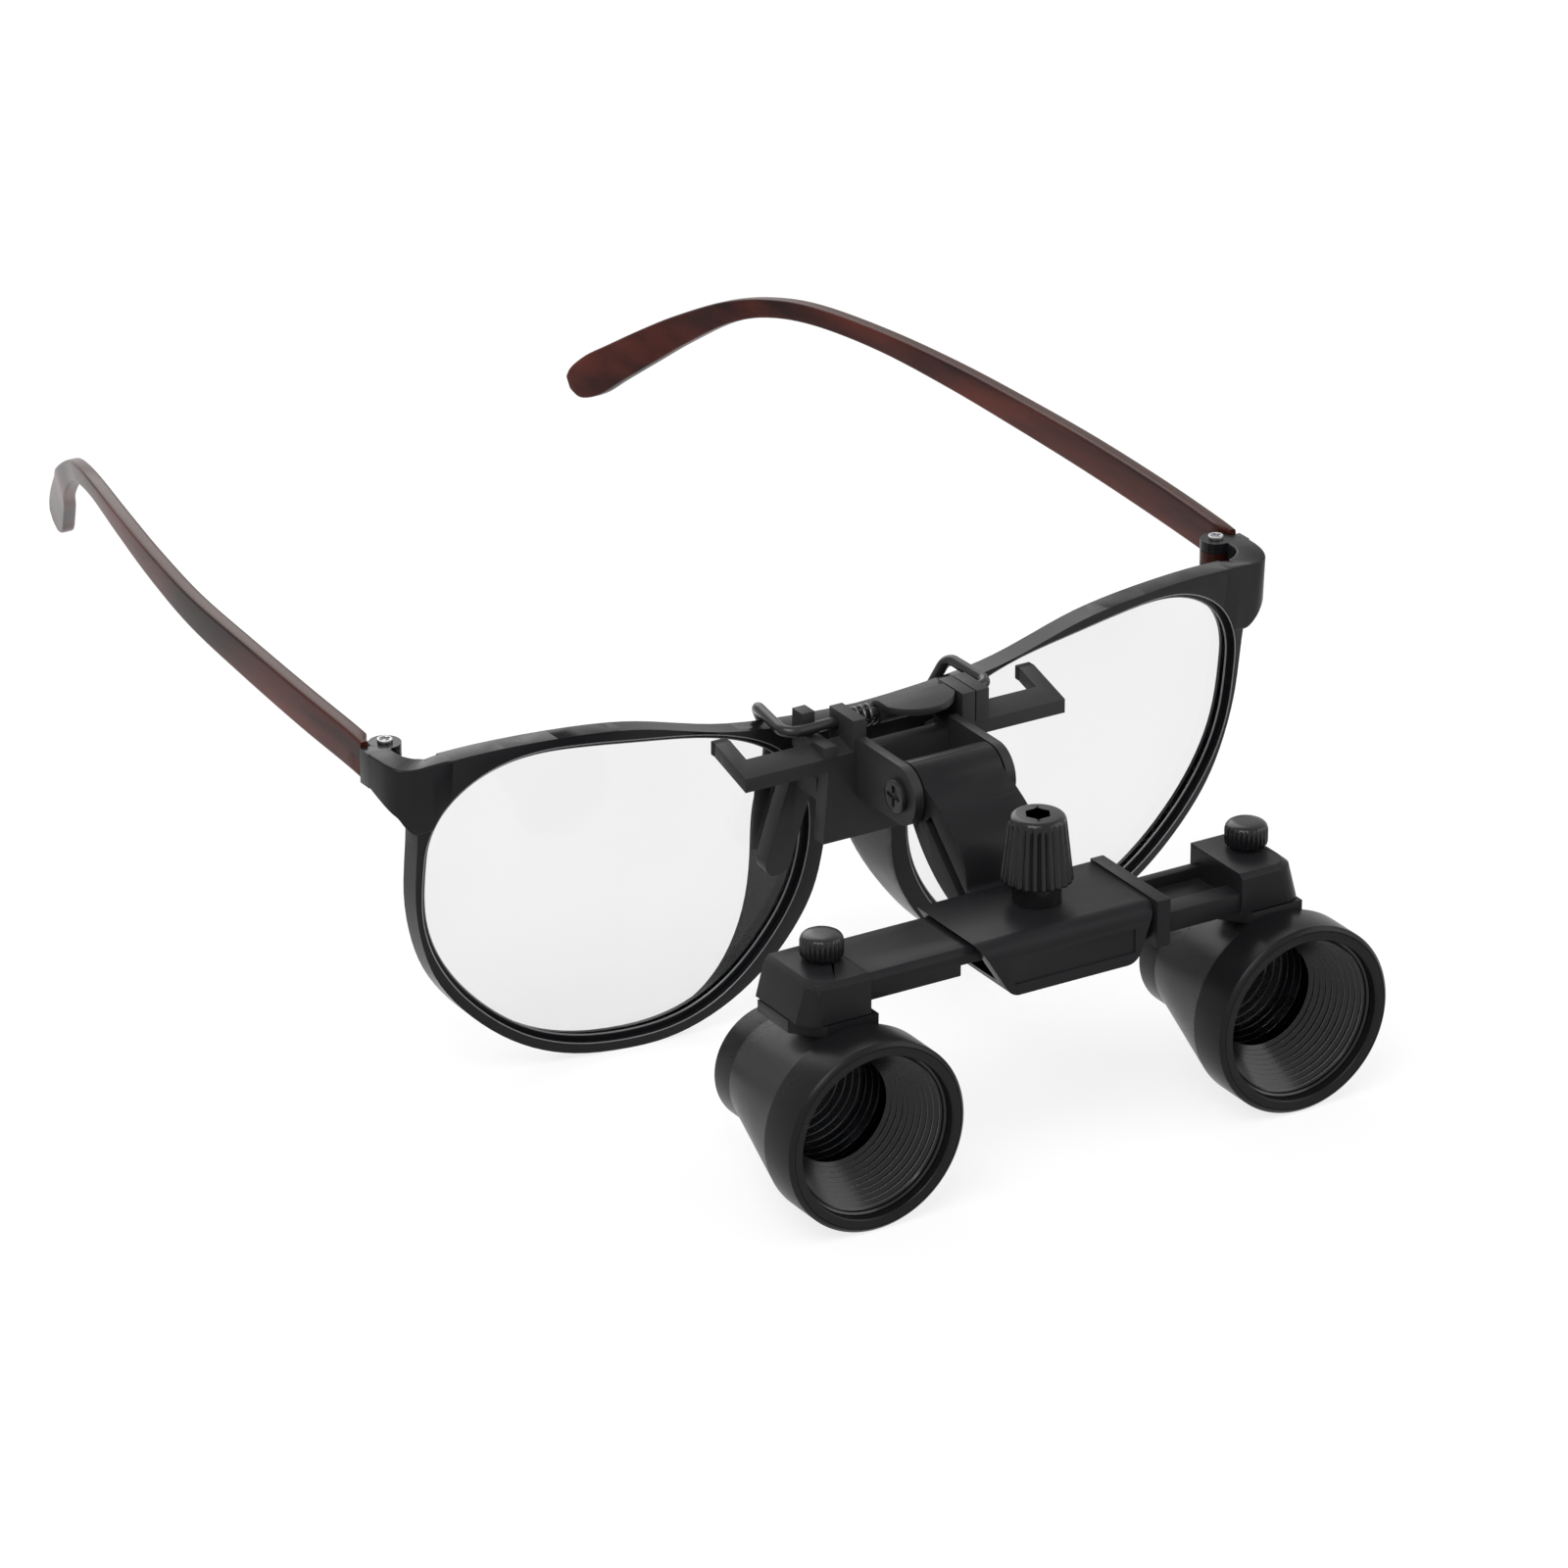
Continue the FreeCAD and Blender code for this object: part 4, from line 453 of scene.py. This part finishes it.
def rimRadius(rim, angle):
    # the outline's radius at an angle, straight between its points
    polar = rim[1]
    turn = 2 * math.pi
    ring = [(polar[-1][0] - turn, polar[-1][1])] + polar + [(polar[0][0] + turn, polar[0][1])]
    for (a, ra), (b, rb) in zip(ring, ring[1:]):
        if a <= angle <= b:
            return ra + (rb - ra) * (angle - a) / max(b - a, 1e-9)
    return polar[0][1]


def paintedHighlightLine(bm, rim, inset, depth, radius):
    # a painted highlight along the opening: a thin tube of light grey by the lens outline, at a depth behind
    # the front face
    middle, polar = rim
    sides = front["lineSides"]
    flat = [Vector((middle[0] + r * math.cos(a), middle[1] + r * math.sin(a))) for a, r in polar]
    count = len(flat)
    path = []
    for at, point in enumerate(flat):
        along = (flat[(at + 2) % count] - flat[at - 2]).normalized()
        inward = Vector((-along.y, along.x))
        spot = point + inward * inset * mm
        x, z = spot.x / mm, spot.y / mm - front["shiftZ"]
        y = front["face"] + x * x / front["bow"] - front["lean"] * z + depth
        path.append((fromHinge(x, y, z), Vector((inward.x, 0, inward.y))))
    rings = []
    for place, inward in path:
        ring = []
        for k in range(sides):
            turn = 2 * math.pi * k / sides
            backward = Vector((0, radius * mm * math.sin(turn), 0))
            ring.append(bm.verts.new(place + inward * radius * mm * math.cos(turn) + backward))
        rings.append(ring)
    faces = []
    for one, two in zip(rings, rings[1:] + rings[:1]):
        for k in range(sides):
            faces.append(bm.faces.new((one[k], two[k], two[(k + 1) % sides], one[(k + 1) % sides])))
    bmesh.ops.recalc_face_normals(bm, faces=faces)
    # the tubes take the second, light grey material: painted highlight
    for face in faces:
        face.material_index = 1


def frameFront():
    # the solid's front with its blocky corners cut away and made new, and two fine lines of painted highlight
    # round each lens
    bm = mergedCopy("frame_front")
    for point, way in (((front["cutX"], 0, 0), (1, 0, 0)), ((-front["cutX"], 0, 0), (1, 0, 0)),
                       ((0, 0, front["cutZ"]), (0, 0, 1)), ((0, front["cutY"], 0), (0, 1, 0))):
        bmesh.ops.bisect_plane(bm, geom=bm.verts[:] + bm.edges[:] + bm.faces[:], dist=cutReach,
                               plane_co=fromHinge(*point), plane_no=way)
    low, back = fromHinge(0, front["cutY"], front["cutZ"]).z, fromHinge(0, front["cutY"], 0).y
    rims = [lensRim("left"), lensRim("right")]

    def fromOpening(spot):
        # the distance from the nearer lens outline, seen from the front
        spans = []
        for rim in rims:
            across, rise = spot.x - rim[0][0], spot.z - rim[0][1]
            spans.append(abs(math.hypot(across, rise) - rimRadius(rim, math.atan2(rise, across))))
        return min(spans)

    def awayFromOpenings(edge):
        return fromOpening((edge.verts[0].co + edge.verts[1].co) / 2) >= front["rimKept"] * mm

    # the walls close to the opening stay, behind the new corner
    gone = []
    for face in bm.faces:
        centre = face.calc_center_median()
        inCorner = abs(centre.x) > front["cutX"] * mm and centre.z > low and centre.y < back
        if inCorner and fromOpening(centre) > front["lipKept"] * mm:
            gone.append(face)
    bmesh.ops.delete(bm, geom=gone, context="FACES")
    soften(bm, front["edgeRound"], front["shortEdge"], segments=3, chosen=awayFromOpenings)
    for side, rim in zip((-1, 1), rims):
        addCorner(bm, side, rim)
    # two thin tubes of painted highlight round each lens
    for rim in rims:
        for inset, depth, radius in front["lines"]:
            paintedHighlightLine(bm, rim, inset, depth, radius)
    shade(bm)
    keepPiece("frame_front_finished", bm, "frame_front", materials["painted_edge_highlight"])


frameFront()
print("frame front made")

# temples

# a section is its middle x, then y and z at its top and y and z at its low
temple = {
    "thick": 2.1, "round": 0.5, "hinge": 66.0, "room": 2.45, "keep": 3.2, "steps": 6,
    "edgeRound": 0.15, "shortEdge": 0.6, "smooth": 40,
    "splay": {"left": (3.2, -2.1), "right": (0.0, 0.0)}, "splayLength": 125.0, "splayPower": 1.7,
    "sections": ((68.5, 0.3, 0.6, 0.3, -4.7), (68.46, 4.5, 1.05, 4.5, -4.35),
                 (68.36, 17.3, 1.87, 17.5, -3.5), (67.7, 33.8, 2.8, 34.0, -2.3),
                 (66.5, 49.9, 3.5, 50.2, -1.1), (64.4, 64.7, 4.45, 65.0, 0.5),
                 (61.6, 78.9, 5.15, 79.0, 1.95), (58.3, 92.4, 5.2, 91.5, 2.4),
                 (55.6, 101.2, 4.0, 100.5, 1.25), (52.9, 108.6, 1.65, 107.3, -1.4),
                 (49.9, 117.1, -2.73, 114.7, -6.5), (47.2, 122.6, -6.22, 119.6, -10.6),
                 (44.6, 128.2, -10.07, 124.6, -14.8), (43.0, 131.5, -12.4, 127.9, -17.6),
                 (41.9, 133.8, -14.7, 131.0, -18.9), (41.5, 134.5, -16.2, 133.1, -18.3)),
}


def templeBar(word, side):
    # the bar from the joint over the ear to its blunt tip, on the joint's lug from the solid
    bm = mergedCopy("temple_" + word)
    gone = [face for face in bm.faces if face.calc_center_median().y > fromHinge(0, temple["keep"], 0).y]
    bmesh.ops.delete(bm, geom=gone, context="FACES")
    soften(bm, temple["edgeRound"], temple["shortEdge"])
    rings = []
    half = temple["thick"] / 2
    outward, upward = temple["splay"][word]
    for x, topY, topZ, lowY, lowZ in between(temple["sections"], temple["steps"]):
        # the left one stands a little wider and lower towards its tip
        bend = (topY / temple["splayLength"]) ** temple["splayPower"]
        x, topZ, lowZ = x + outward * bend, topZ + upward * bend, lowZ + upward * bend
        inner = x - half
        # beside the joint the bar's inner side keeps clear of the front's lugs
        if topY < temple["room"]:
            inner = max(inner, temple["hinge"] + math.sqrt(temple["room"] ** 2 - topY ** 2))
        corners = ((x + half, topY, topZ), (x + half, lowY, lowZ), (inner, lowY, lowZ), (inner, topY, topZ))
        rings.append(roundedRing(bm, [fromHinge(side * a, b, c) for a, b, c in corners], temple["round"]))
    skin(bm, rings)
    shade(bm, temple["smooth"])
    keepPiece("temple_" + word + "_finished", bm, "temple_" + word)


for side, word in bothSides:
    templeBar(word, side)
print("temples made")

# knobs

# a level is its height, its radius and the share of the grooves' depth; -1 makes it a hexagon
pdKnob = {
    "x": 0.0, "y": -56.6, "ribs": 24, "depth": 0.42, "sharp": 1.6,
    "levels": ((-5.9, 2.14, 0), (-4.33, 2.14, 0), (-4.33, 1.78, -1), (-4.23, 1.78, -1), (-4.2, 1.82, -1),
               (-4.2, 2.9, 0), (-4.24, 3.2, 0), (-4.36, 3.45, 0), (-4.56, 3.66, 0), (-4.85, 3.81, 0.1),
               (-5.2, 3.89, 0.5), (-5.6, 3.95, 0.9), (-6.2, 4.02, 1), (-9.5, 4.4, 1), (-13.1, 4.82, 1),
               (-13.4, 4.82, 1), (-13.57, 4.7, 0.9), (-13.6, 4.5, 0.6), (-13.6, 3.3, 0), (-16.4, 3.3, 0)),
}
lockKnob = {
    "y": -56.5, "ribs": 26, "depth": 0.24, "sharp": 1.3,
    "levels": ((-13.2, 0.4, 0), (-13.21, 1.2, 0), (-13.25, 1.8, 0), (-13.34, 2.25, 0), (-13.5, 2.55, 0),
               (-13.72, 2.76, 0.15), (-14.0, 2.88, 0.6), (-14.3, 2.93, 1), (-16.0, 2.93, 1),
               (-16.28, 2.86, 1), (-16.4, 2.7, 0.6), (-16.4, 2.3, 0), (-16.8, 2.3, 0), (-16.8, 1.55, 0),
               (-24.2, 1.55, 0)),
}
sidesPerRib = 8
knobSmooth = 50


def ribbedKnob(node, knob, middleX):
    # rings of a ribbed grip from top to bottom, the grooves running out below the rounded top
    bm = bmesh.new()
    count = knob["ribs"] * sidesPerRib
    rings = []
    for height, radius, share in knob["levels"]:
        ring = bmesh.ops.create_circle(bm, cap_ends=False, radius=radius * mm, segments=count)["verts"]
        for at, vert in enumerate(ring):
            angle = 2 * math.pi * at / count
            groove = (0.5 + 0.5 * math.cos(angle * knob["ribs"])) ** knob["sharp"]
            reach = radius - knob["depth"] * share * groove
            if share < 0:
                # a hexagon, its radius taken across the corners
                reach = radius * math.cos(math.pi / 6) / math.cos(angle % (math.pi / 3) - math.pi / 6)
            across, along = reach * math.cos(angle), reach * math.sin(angle)
            vert.co = fromHinge(middleX + across, knob["y"] + along, height)
        rings.append(ring)
    for one, two in zip(rings, rings[1:]):
        upper, both = set(one), set(one) | set(two)
        rims = [edge for edge in bm.edges if (edge.is_wire or len(edge.link_faces) == 1)
                and edge.verts[0] in both and edge.verts[1] in both
                and (edge.verts[0] in upper) == (edge.verts[1] in upper)]
        bmesh.ops.bridge_loops(bm, edges=rims)
    bm.faces.new(rings[0])
    bm.faces.new(rings[-1])
    bmesh.ops.recalc_face_normals(bm, faces=bm.faces)
    shade(bm, knobSmooth)
    keepPiece(node + "_ribbed", bm, node)


ribbedKnob("pd_knob", pdKnob, pdKnob["x"])
for side, word in bothSides:
    ribbedKnob("lock_knob_" + word, lockKnob, side * lockAxis)
print("knobs made")

# slide ends

block = {
    "inner": 28.9, "outer": 37.6, "shift": 1.4, "back": -51.8, "front": -64.1, "top": -16.9,
    "bottom": -22.5, "corner": 2.9, "cornerSteps": 8, "chamfer": 0.7, "lean": 0.1, "flare": 1.4,
    "bore": 1.62, "boreY": -56.5, "boreSteps": 32, "edgeRound": 0.18, "shortEdge": 1.0, "degrees": 30,
}
foot = {
    "outline": ((-7.3, -52.5), (-7.3, -60.0), (-3.9, -64.2), (3.95, -64.2), (3.95, -52.5)),
    "top": -22.72, "thick": 1.7, "cut": 3.9, "webRound": 0.12, "webShort": 0.8,
    "edgeRound": 0.14, "shortEdge": 1.5, "radians": 0.5,
}


def boreCircle(bm, side, height):
    # one end of the bore for the lock stem
    ring = []
    for step in range(block["boreSteps"]):
        turn = 2 * math.pi * step / block["boreSteps"]
        across, along = block["bore"] * math.cos(turn), block["bore"] * math.sin(turn)
        ring.append(bm.verts.new(fromHinge(side * lockAxis + across, block["boreY"] + along, height)))
    return ring


def bridgeRound(bm, rings):
    # walls from each ring to the next and from the last back to the first
    loops = [[bm.edges.new((ring[at - 1], ring[at])) for at in range(len(ring))] for ring in rings]
    for one, two in zip(loops, loops[1:] + loops[:1]):
        bmesh.ops.bridge_loops(bm, edges=one + two)


def endBlock(word, side):
    # the block with a rounded outer front corner, a chamfered top, a flared outer side and its bore
    bm = bmesh.new()
    inner, outer = block["inner"] - side * block["shift"], block["outer"] - side * block["shift"]

    def outline(height, inset, flare):
        far, near = outer + flare - inset, block["front"] + inset
        corner, steps = block["corner"], block["cornerSteps"]
        points = [(inner, block["back"]), (inner, near)]
        for step in range(steps + 1):
            turn = math.pi / 2 * step / steps
            points.append((far - corner + corner * math.sin(turn), near + corner - corner * math.cos(turn)))
        points.append((far, block["back"]))
        return [bm.verts.new(fromHinge(side * x, y, height)) for x, y in points]

    rings = [boreCircle(bm, side, block["top"]), outline(block["top"], block["chamfer"], 0),
             outline(block["top"] - block["chamfer"], 0, block["lean"]),
             outline(block["bottom"], 0, block["flare"]), boreCircle(bm, side, block["bottom"])]
    bridgeRound(bm, rings)
    bmesh.ops.recalc_face_normals(bm, faces=bm.faces)
    soften(bm, block["edgeRound"], block["shortEdge"], block["degrees"])
    shade(bm, block["degrees"])
    keepPiece("end_block_" + word + "_finished", bm, "end_block_" + word)


def footPlate(word, side):
    # the plate under the block, the same part on both sides, over the web that holds the barrel
    bm = mergedCopy("foot_plate_" + word)
    middle = side * lockAxis
    bmesh.ops.bisect_plane(bm, geom=bm.verts[:] + bm.edges[:] + bm.faces[:], dist=cutReach, clear_outer=True,
                           plane_co=fromHinge(middle + foot["cut"], 0, 0), plane_no=(1, 0, 0))
    soften(bm, foot["webRound"], foot["webShort"])
    older = set(bm.faces)
    rings = []
    for height in (foot["top"], foot["top"] - foot["thick"]):
        pair = [boreCircle(bm, side, height),
                [bm.verts.new(fromHinge(middle + x, y, height)) for x, y in foot["outline"]]]
        rings += pair if height == foot["top"] else pair[::-1]
    bridgeRound(bm, rings)
    plate = [face for face in bm.faces if face not in older]
    bmesh.ops.recalc_face_normals(bm, faces=plate)
    rims = {edge for face in plate for edge in face.edges
            if edge.calc_face_angle() > foot["radians"] and edge.calc_length() > foot["shortEdge"] * mm}
    roundEdges(bm, list(rims), foot["edgeRound"])
    shade(bm)
    keepPiece("foot_plate_" + word + "_finished", bm, "foot_plate_" + word)


for side, word in bothSides:
    endBlock(word, side)
    footPlate(word, side)
print("slide ends made")

# barrels

# the axis is at x and height, the rear end at back; a profile's point is a radius and a depth from there
barrel = {
    "x": 33.4, "back": -75.2, "height": 13.4, "steps": 120, "sharp": 9, "smooth": 14,
    "body": ((7.4, 0), (7.9, 0), (8.4, 0.5), (8.4, 4.3), (13.4, 21.2), (13.4, 27.2), (12.9, 27.7),
             (12.7, 27.7), (12.7, 26.3), (12.1, 26.3), (12.1, 19.0), (9.8, 19.0), (9.8, 14.0), (8.8, 14.0),
             (6.0, 5.0), (6.0, 3.0), (7.4, 3.0)),
    "frontRing": ((11.4, 26.34), (12.66, 26.34), (12.66, 27.7), (11.6, 27.7), (11.4, 27.5)),
    "rearRing": ((5.9, 0.04), (7.36, 0.04), (7.36, 1.34), (5.9, 1.34)),
    "bead": ((9.7, 17.75), (9.7, 19.04), (12.06, 19.04), (12.06, 26.26), (11.3, 26.26), (11.05, 26.05),
             (10.95, 25.7)),
    "threads": {"count": 9, "front": (10.75, 25.5), "back": (7.4, 17.85), "depth": 0.55}, "crest": 0.17,
    "liner": {"count": 8, "front": (8.3, 13.9), "back": (5.6, 5.4), "depth": 0.35},
    "linerLip": 8.9, "linerWall": 0.7,
    "objective": {"radius": 9.76, "low": 14.04, "high": 17.16, "rise": 1.0},
    "eyepiece": {"radius": 7.36, "low": 3.0, "high": 1.8, "rise": -0.4},
}


def spunPiece(name, node, profile, side, width=0.0, closed=True, crest=0.0):
    # a profile of radius and depth turned round the barrel's axis, its narrow crest bands given the light
    # grey second material as painted highlight
    bm = bmesh.new()
    axisX = side * barrel["x"] * mm
    height = barrel["height"] * mm
    ring = [bm.verts.new((axisX + radius * mm, (barrel["back"] - depth) * mm, height))
            for radius, depth in profile]
    lines = [bm.edges.new(pair) for pair in zip(ring, ring[1:])]
    if closed:
        lines.append(bm.edges.new((ring[-1], ring[0])))
    bmesh.ops.spin(bm, geom=ring + lines, cent=(axisX, 0, height), axis=(0, 1, 0), dvec=(0, 0, 0),
                   angle=2 * math.pi, steps=barrel["steps"], use_merge=True)
    bmesh.ops.remove_doubles(bm, verts=bm.verts, dist=0.002 * mm)
    bmesh.ops.recalc_face_normals(bm, faces=bm.faces)
    if width:
        soften(bm, width, degrees=barrel["sharp"])
    # painted highlight: the narrow crest bands take the light grey second material
    if crest:
        for face in bm.faces:
            depths = [vert.co.y for vert in face.verts]
            radii = [math.hypot(vert.co.x - axisX, vert.co.z - height) for vert in face.verts]
            if max(depths) - min(depths) < crest * 1.2 * mm and max(radii) - min(radii) < 0.01 * mm:
                face.material_index = 1
    shade(bm, barrel["smooth"])
    return keepPiece(name, bm, node, materials["painted_edge_highlight"])


def grooves(run):
    # narrow crests and deep roots down a funnel, from its front to its back
    points = []
    (frontRadius, frontDepth), (backRadius, backDepth) = run["front"], run["back"]
    count = run["count"]
    stepDepth, stepRadius = (backDepth - frontDepth) / count, (backRadius - frontRadius) / count
    for turn in range(count):
        radius, depth = frontRadius + stepRadius * turn, frontDepth + stepDepth * turn
        points += [(radius, depth), (radius, depth - barrel["crest"]),
                   (radius + stepRadius / 2 + run["depth"], depth + stepDepth / 2)]
    return points + [run["back"]]


def threadProfile():
    # the blackened funnel: a glossy bead, then its thread down to the objective
    backRadius = barrel["threads"]["back"][0]
    return list(barrel["bead"]) + grooves(barrel["threads"]) + [(backRadius, barrel["bead"][0][1])]


def linerProfile():
    # the ringed liner behind the objective, seen through the glass
    frontDepth = barrel["liner"]["front"][1]
    backRadius, backDepth = barrel["liner"]["back"]
    return ([(barrel["linerLip"], frontDepth)] + grooves(barrel["liner"])
            + [(backRadius + barrel["linerWall"], backDepth)])


def domeProfile(glass):
    # a flat disc with one domed face, from rim to centre
    steps = 10
    radius, rise = glass["radius"], glass["rise"]
    points = [(0, glass["low"]), (radius, glass["low"])]
    for step in range(steps + 1):
        share = step / steps
        points.append((radius * (1 - share), glass["high"] + rise * (1 - (1 - share) ** 2)))
    return points


for side, word in bothSides:
    spunPiece("barrelTube_" + word, "barrel_" + word, barrel["body"], side, 0.16)
    spunPiece("frontRing_" + word, "objective_ring_" + word, barrel["frontRing"], side, 0.07)
    spunPiece("rearRing_" + word, "eyepiece_ring_" + word, barrel["rearRing"], side, 0.12)
    spunPiece("threadedFunnel_" + word, "baffle_" + word, threadProfile(), side, crest=barrel["crest"])
    spunPiece("innerRings_" + word, "barrel_" + word, linerProfile(), side, crest=barrel["crest"])
    for glass in ("objective", "eyepiece"):
        profile = domeProfile(barrel[glass])
        spunPiece(glass + "Glass_" + word, glass + "_lens_" + word, profile, side, closed=False)
print("barrels spun")

# every solid takes its slot's material; the lenses, the spring, the wire and the pinion keep their own shape

for node, shape in nodes.items():
    shape.data.materials.clear()
    shape.data.materials.append(materials[slotOf[node]])
for node in ("lens_left", "lens_right", "torsion_spring", "clip_wire", "pinion_shaft"):
    copy = mergedCopy(node)
    shade(copy)
    keepPiece(node + "_finished", copy, node)
print("plain pieces kept")

# room, light and camera

studio = {
    "floorHalf": 3.0, "floorDrop": 0.05, "floorColour": (0.9, 0.9, 0.9, 1), "floorGlow": 0.8, "ambient": 0.55,
    "aim": (0, -0.04, 0.03),
}
lamps = {
    "keyLamp": {"place": (-0.55, -0.45, 0.9), "size": 0.7, "power": 9.0},
    "fillLamp": {"place": (0.8, -0.6, 0.5), "size": 0.8, "power": 4.0},
    "backLamp": {"place": (0.1, 0.9, 0.7), "size": 0.9, "power": 6.0},
}


def seenWhite(tree):
    # 1 for rays from the camera, mirrors and glass, 0 for the light that falls on the object
    path = tree.nodes.new("ShaderNodeLightPath")
    first = tree.nodes.new("ShaderNodeMath")
    second = tree.nodes.new("ShaderNodeMath")
    first.operation = "MAXIMUM"
    second.operation = "MAXIMUM"
    tree.links.new(path.outputs["Is Camera Ray"], first.inputs[0])
    tree.links.new(path.outputs["Is Glossy Ray"], first.inputs[1])
    tree.links.new(first.outputs[0], second.inputs[0])
    tree.links.new(path.outputs["Is Transmission Ray"], second.inputs[1])
    return second.outputs[0]


def makeWorld():
    # plain white where it is seen, and a softer light on the object
    world = bpy.data.worlds.new("studioWorld")
    bpy.context.scene.world = world
    world.use_nodes = True
    tree = world.node_tree
    tree.nodes.clear()
    seen = tree.nodes.new("ShaderNodeBackground")
    lit = tree.nodes.new("ShaderNodeBackground")
    mix = tree.nodes.new("ShaderNodeMixShader")
    outlet = tree.nodes.new("ShaderNodeOutputWorld")
    seen.inputs["Color"].default_value = (1, 1, 1, 1)
    lit.inputs["Color"].default_value = (1, 1, 1, 1)
    lit.inputs["Strength"].default_value = studio["ambient"]
    tree.links.new(seenWhite(tree), mix.inputs[0])
    tree.links.new(lit.outputs[0], mix.inputs[1])
    tree.links.new(seen.outputs[0], mix.inputs[2])
    tree.links.new(mix.outputs[0], outlet.inputs["Surface"])


def makeFloor():
    # a matt floor that glows to white where it is seen
    mesh = bpy.data.meshes.new("studioFloor")
    bm = bmesh.new()
    bmesh.ops.create_grid(bm, x_segments=1, y_segments=1, size=studio["floorHalf"])
    bm.to_mesh(mesh)
    bm.free()
    floor = bpy.data.objects.new("studioFloor", mesh)
    floor.location.z = -studio["floorDrop"] * mm
    bpy.context.scene.collection.objects.link(floor)
    material = bpy.data.materials.new("studioFloor")
    material.use_nodes = True
    tree = material.node_tree
    tree.nodes.clear()
    matt = tree.nodes.new("ShaderNodeBsdfDiffuse")
    glow = tree.nodes.new("ShaderNodeEmission")
    share = tree.nodes.new("ShaderNodeMath")
    mix = tree.nodes.new("ShaderNodeMixShader")
    outlet = tree.nodes.new("ShaderNodeOutputMaterial")
    matt.inputs["Color"].default_value = studio["floorColour"]
    share.operation = "MULTIPLY"
    share.inputs[1].default_value = studio["floorGlow"]
    tree.links.new(seenWhite(tree), share.inputs[0])
    tree.links.new(share.outputs[0], mix.inputs[0])
    tree.links.new(matt.outputs[0], mix.inputs[1])
    tree.links.new(glow.outputs[0], mix.inputs[2])
    tree.links.new(mix.outputs[0], outlet.inputs["Surface"])
    mesh.materials.append(material)


def areaLamp(name, place, size, power):
    lamp = bpy.data.lights.new(name, "AREA")
    lamp.shape = "SQUARE"
    lamp.size = size
    lamp.energy = power
    holder = bpy.data.objects.new(name, lamp)
    holder.location = place
    holder.rotation_euler = (Vector(studio["aim"]) - Vector(place)).to_track_quat("-Z", "Y").to_euler()
    bpy.context.scene.collection.objects.link(holder)


makeWorld()
makeFloor()
for lampName, lamp in lamps.items():
    areaLamp(lampName, lamp["place"], lamp["size"], lamp["power"])

view = {
    "place": (-0.6316, -1.0521, 0.5703), "azimuth": -31.594, "elevation": 24.30,
    "focal": 222.04, "sensor": 36.0, "clip": 0.05,
}
azimuth, elevation = math.radians(view["azimuth"]), math.radians(view["elevation"])
level = math.cos(elevation)
away = Vector((math.sin(azimuth) * level, -math.cos(azimuth) * level, math.sin(elevation)))
cameraData = bpy.data.cameras.new("photoCamera")
cameraData.lens = view["focal"]
cameraData.sensor_width = view["sensor"]
cameraData.clip_start = view["clip"]
camera = bpy.data.objects.new("photoCamera", cameraData)
camera.location = view["place"]
camera.rotation_euler = (-away).to_track_quat("-Z", "Y").to_euler()
bpy.context.scene.collection.objects.link(camera)
bpy.context.scene.camera = camera
bpy.context.scene.view_settings.view_transform = "Standard"
print("studio ready")
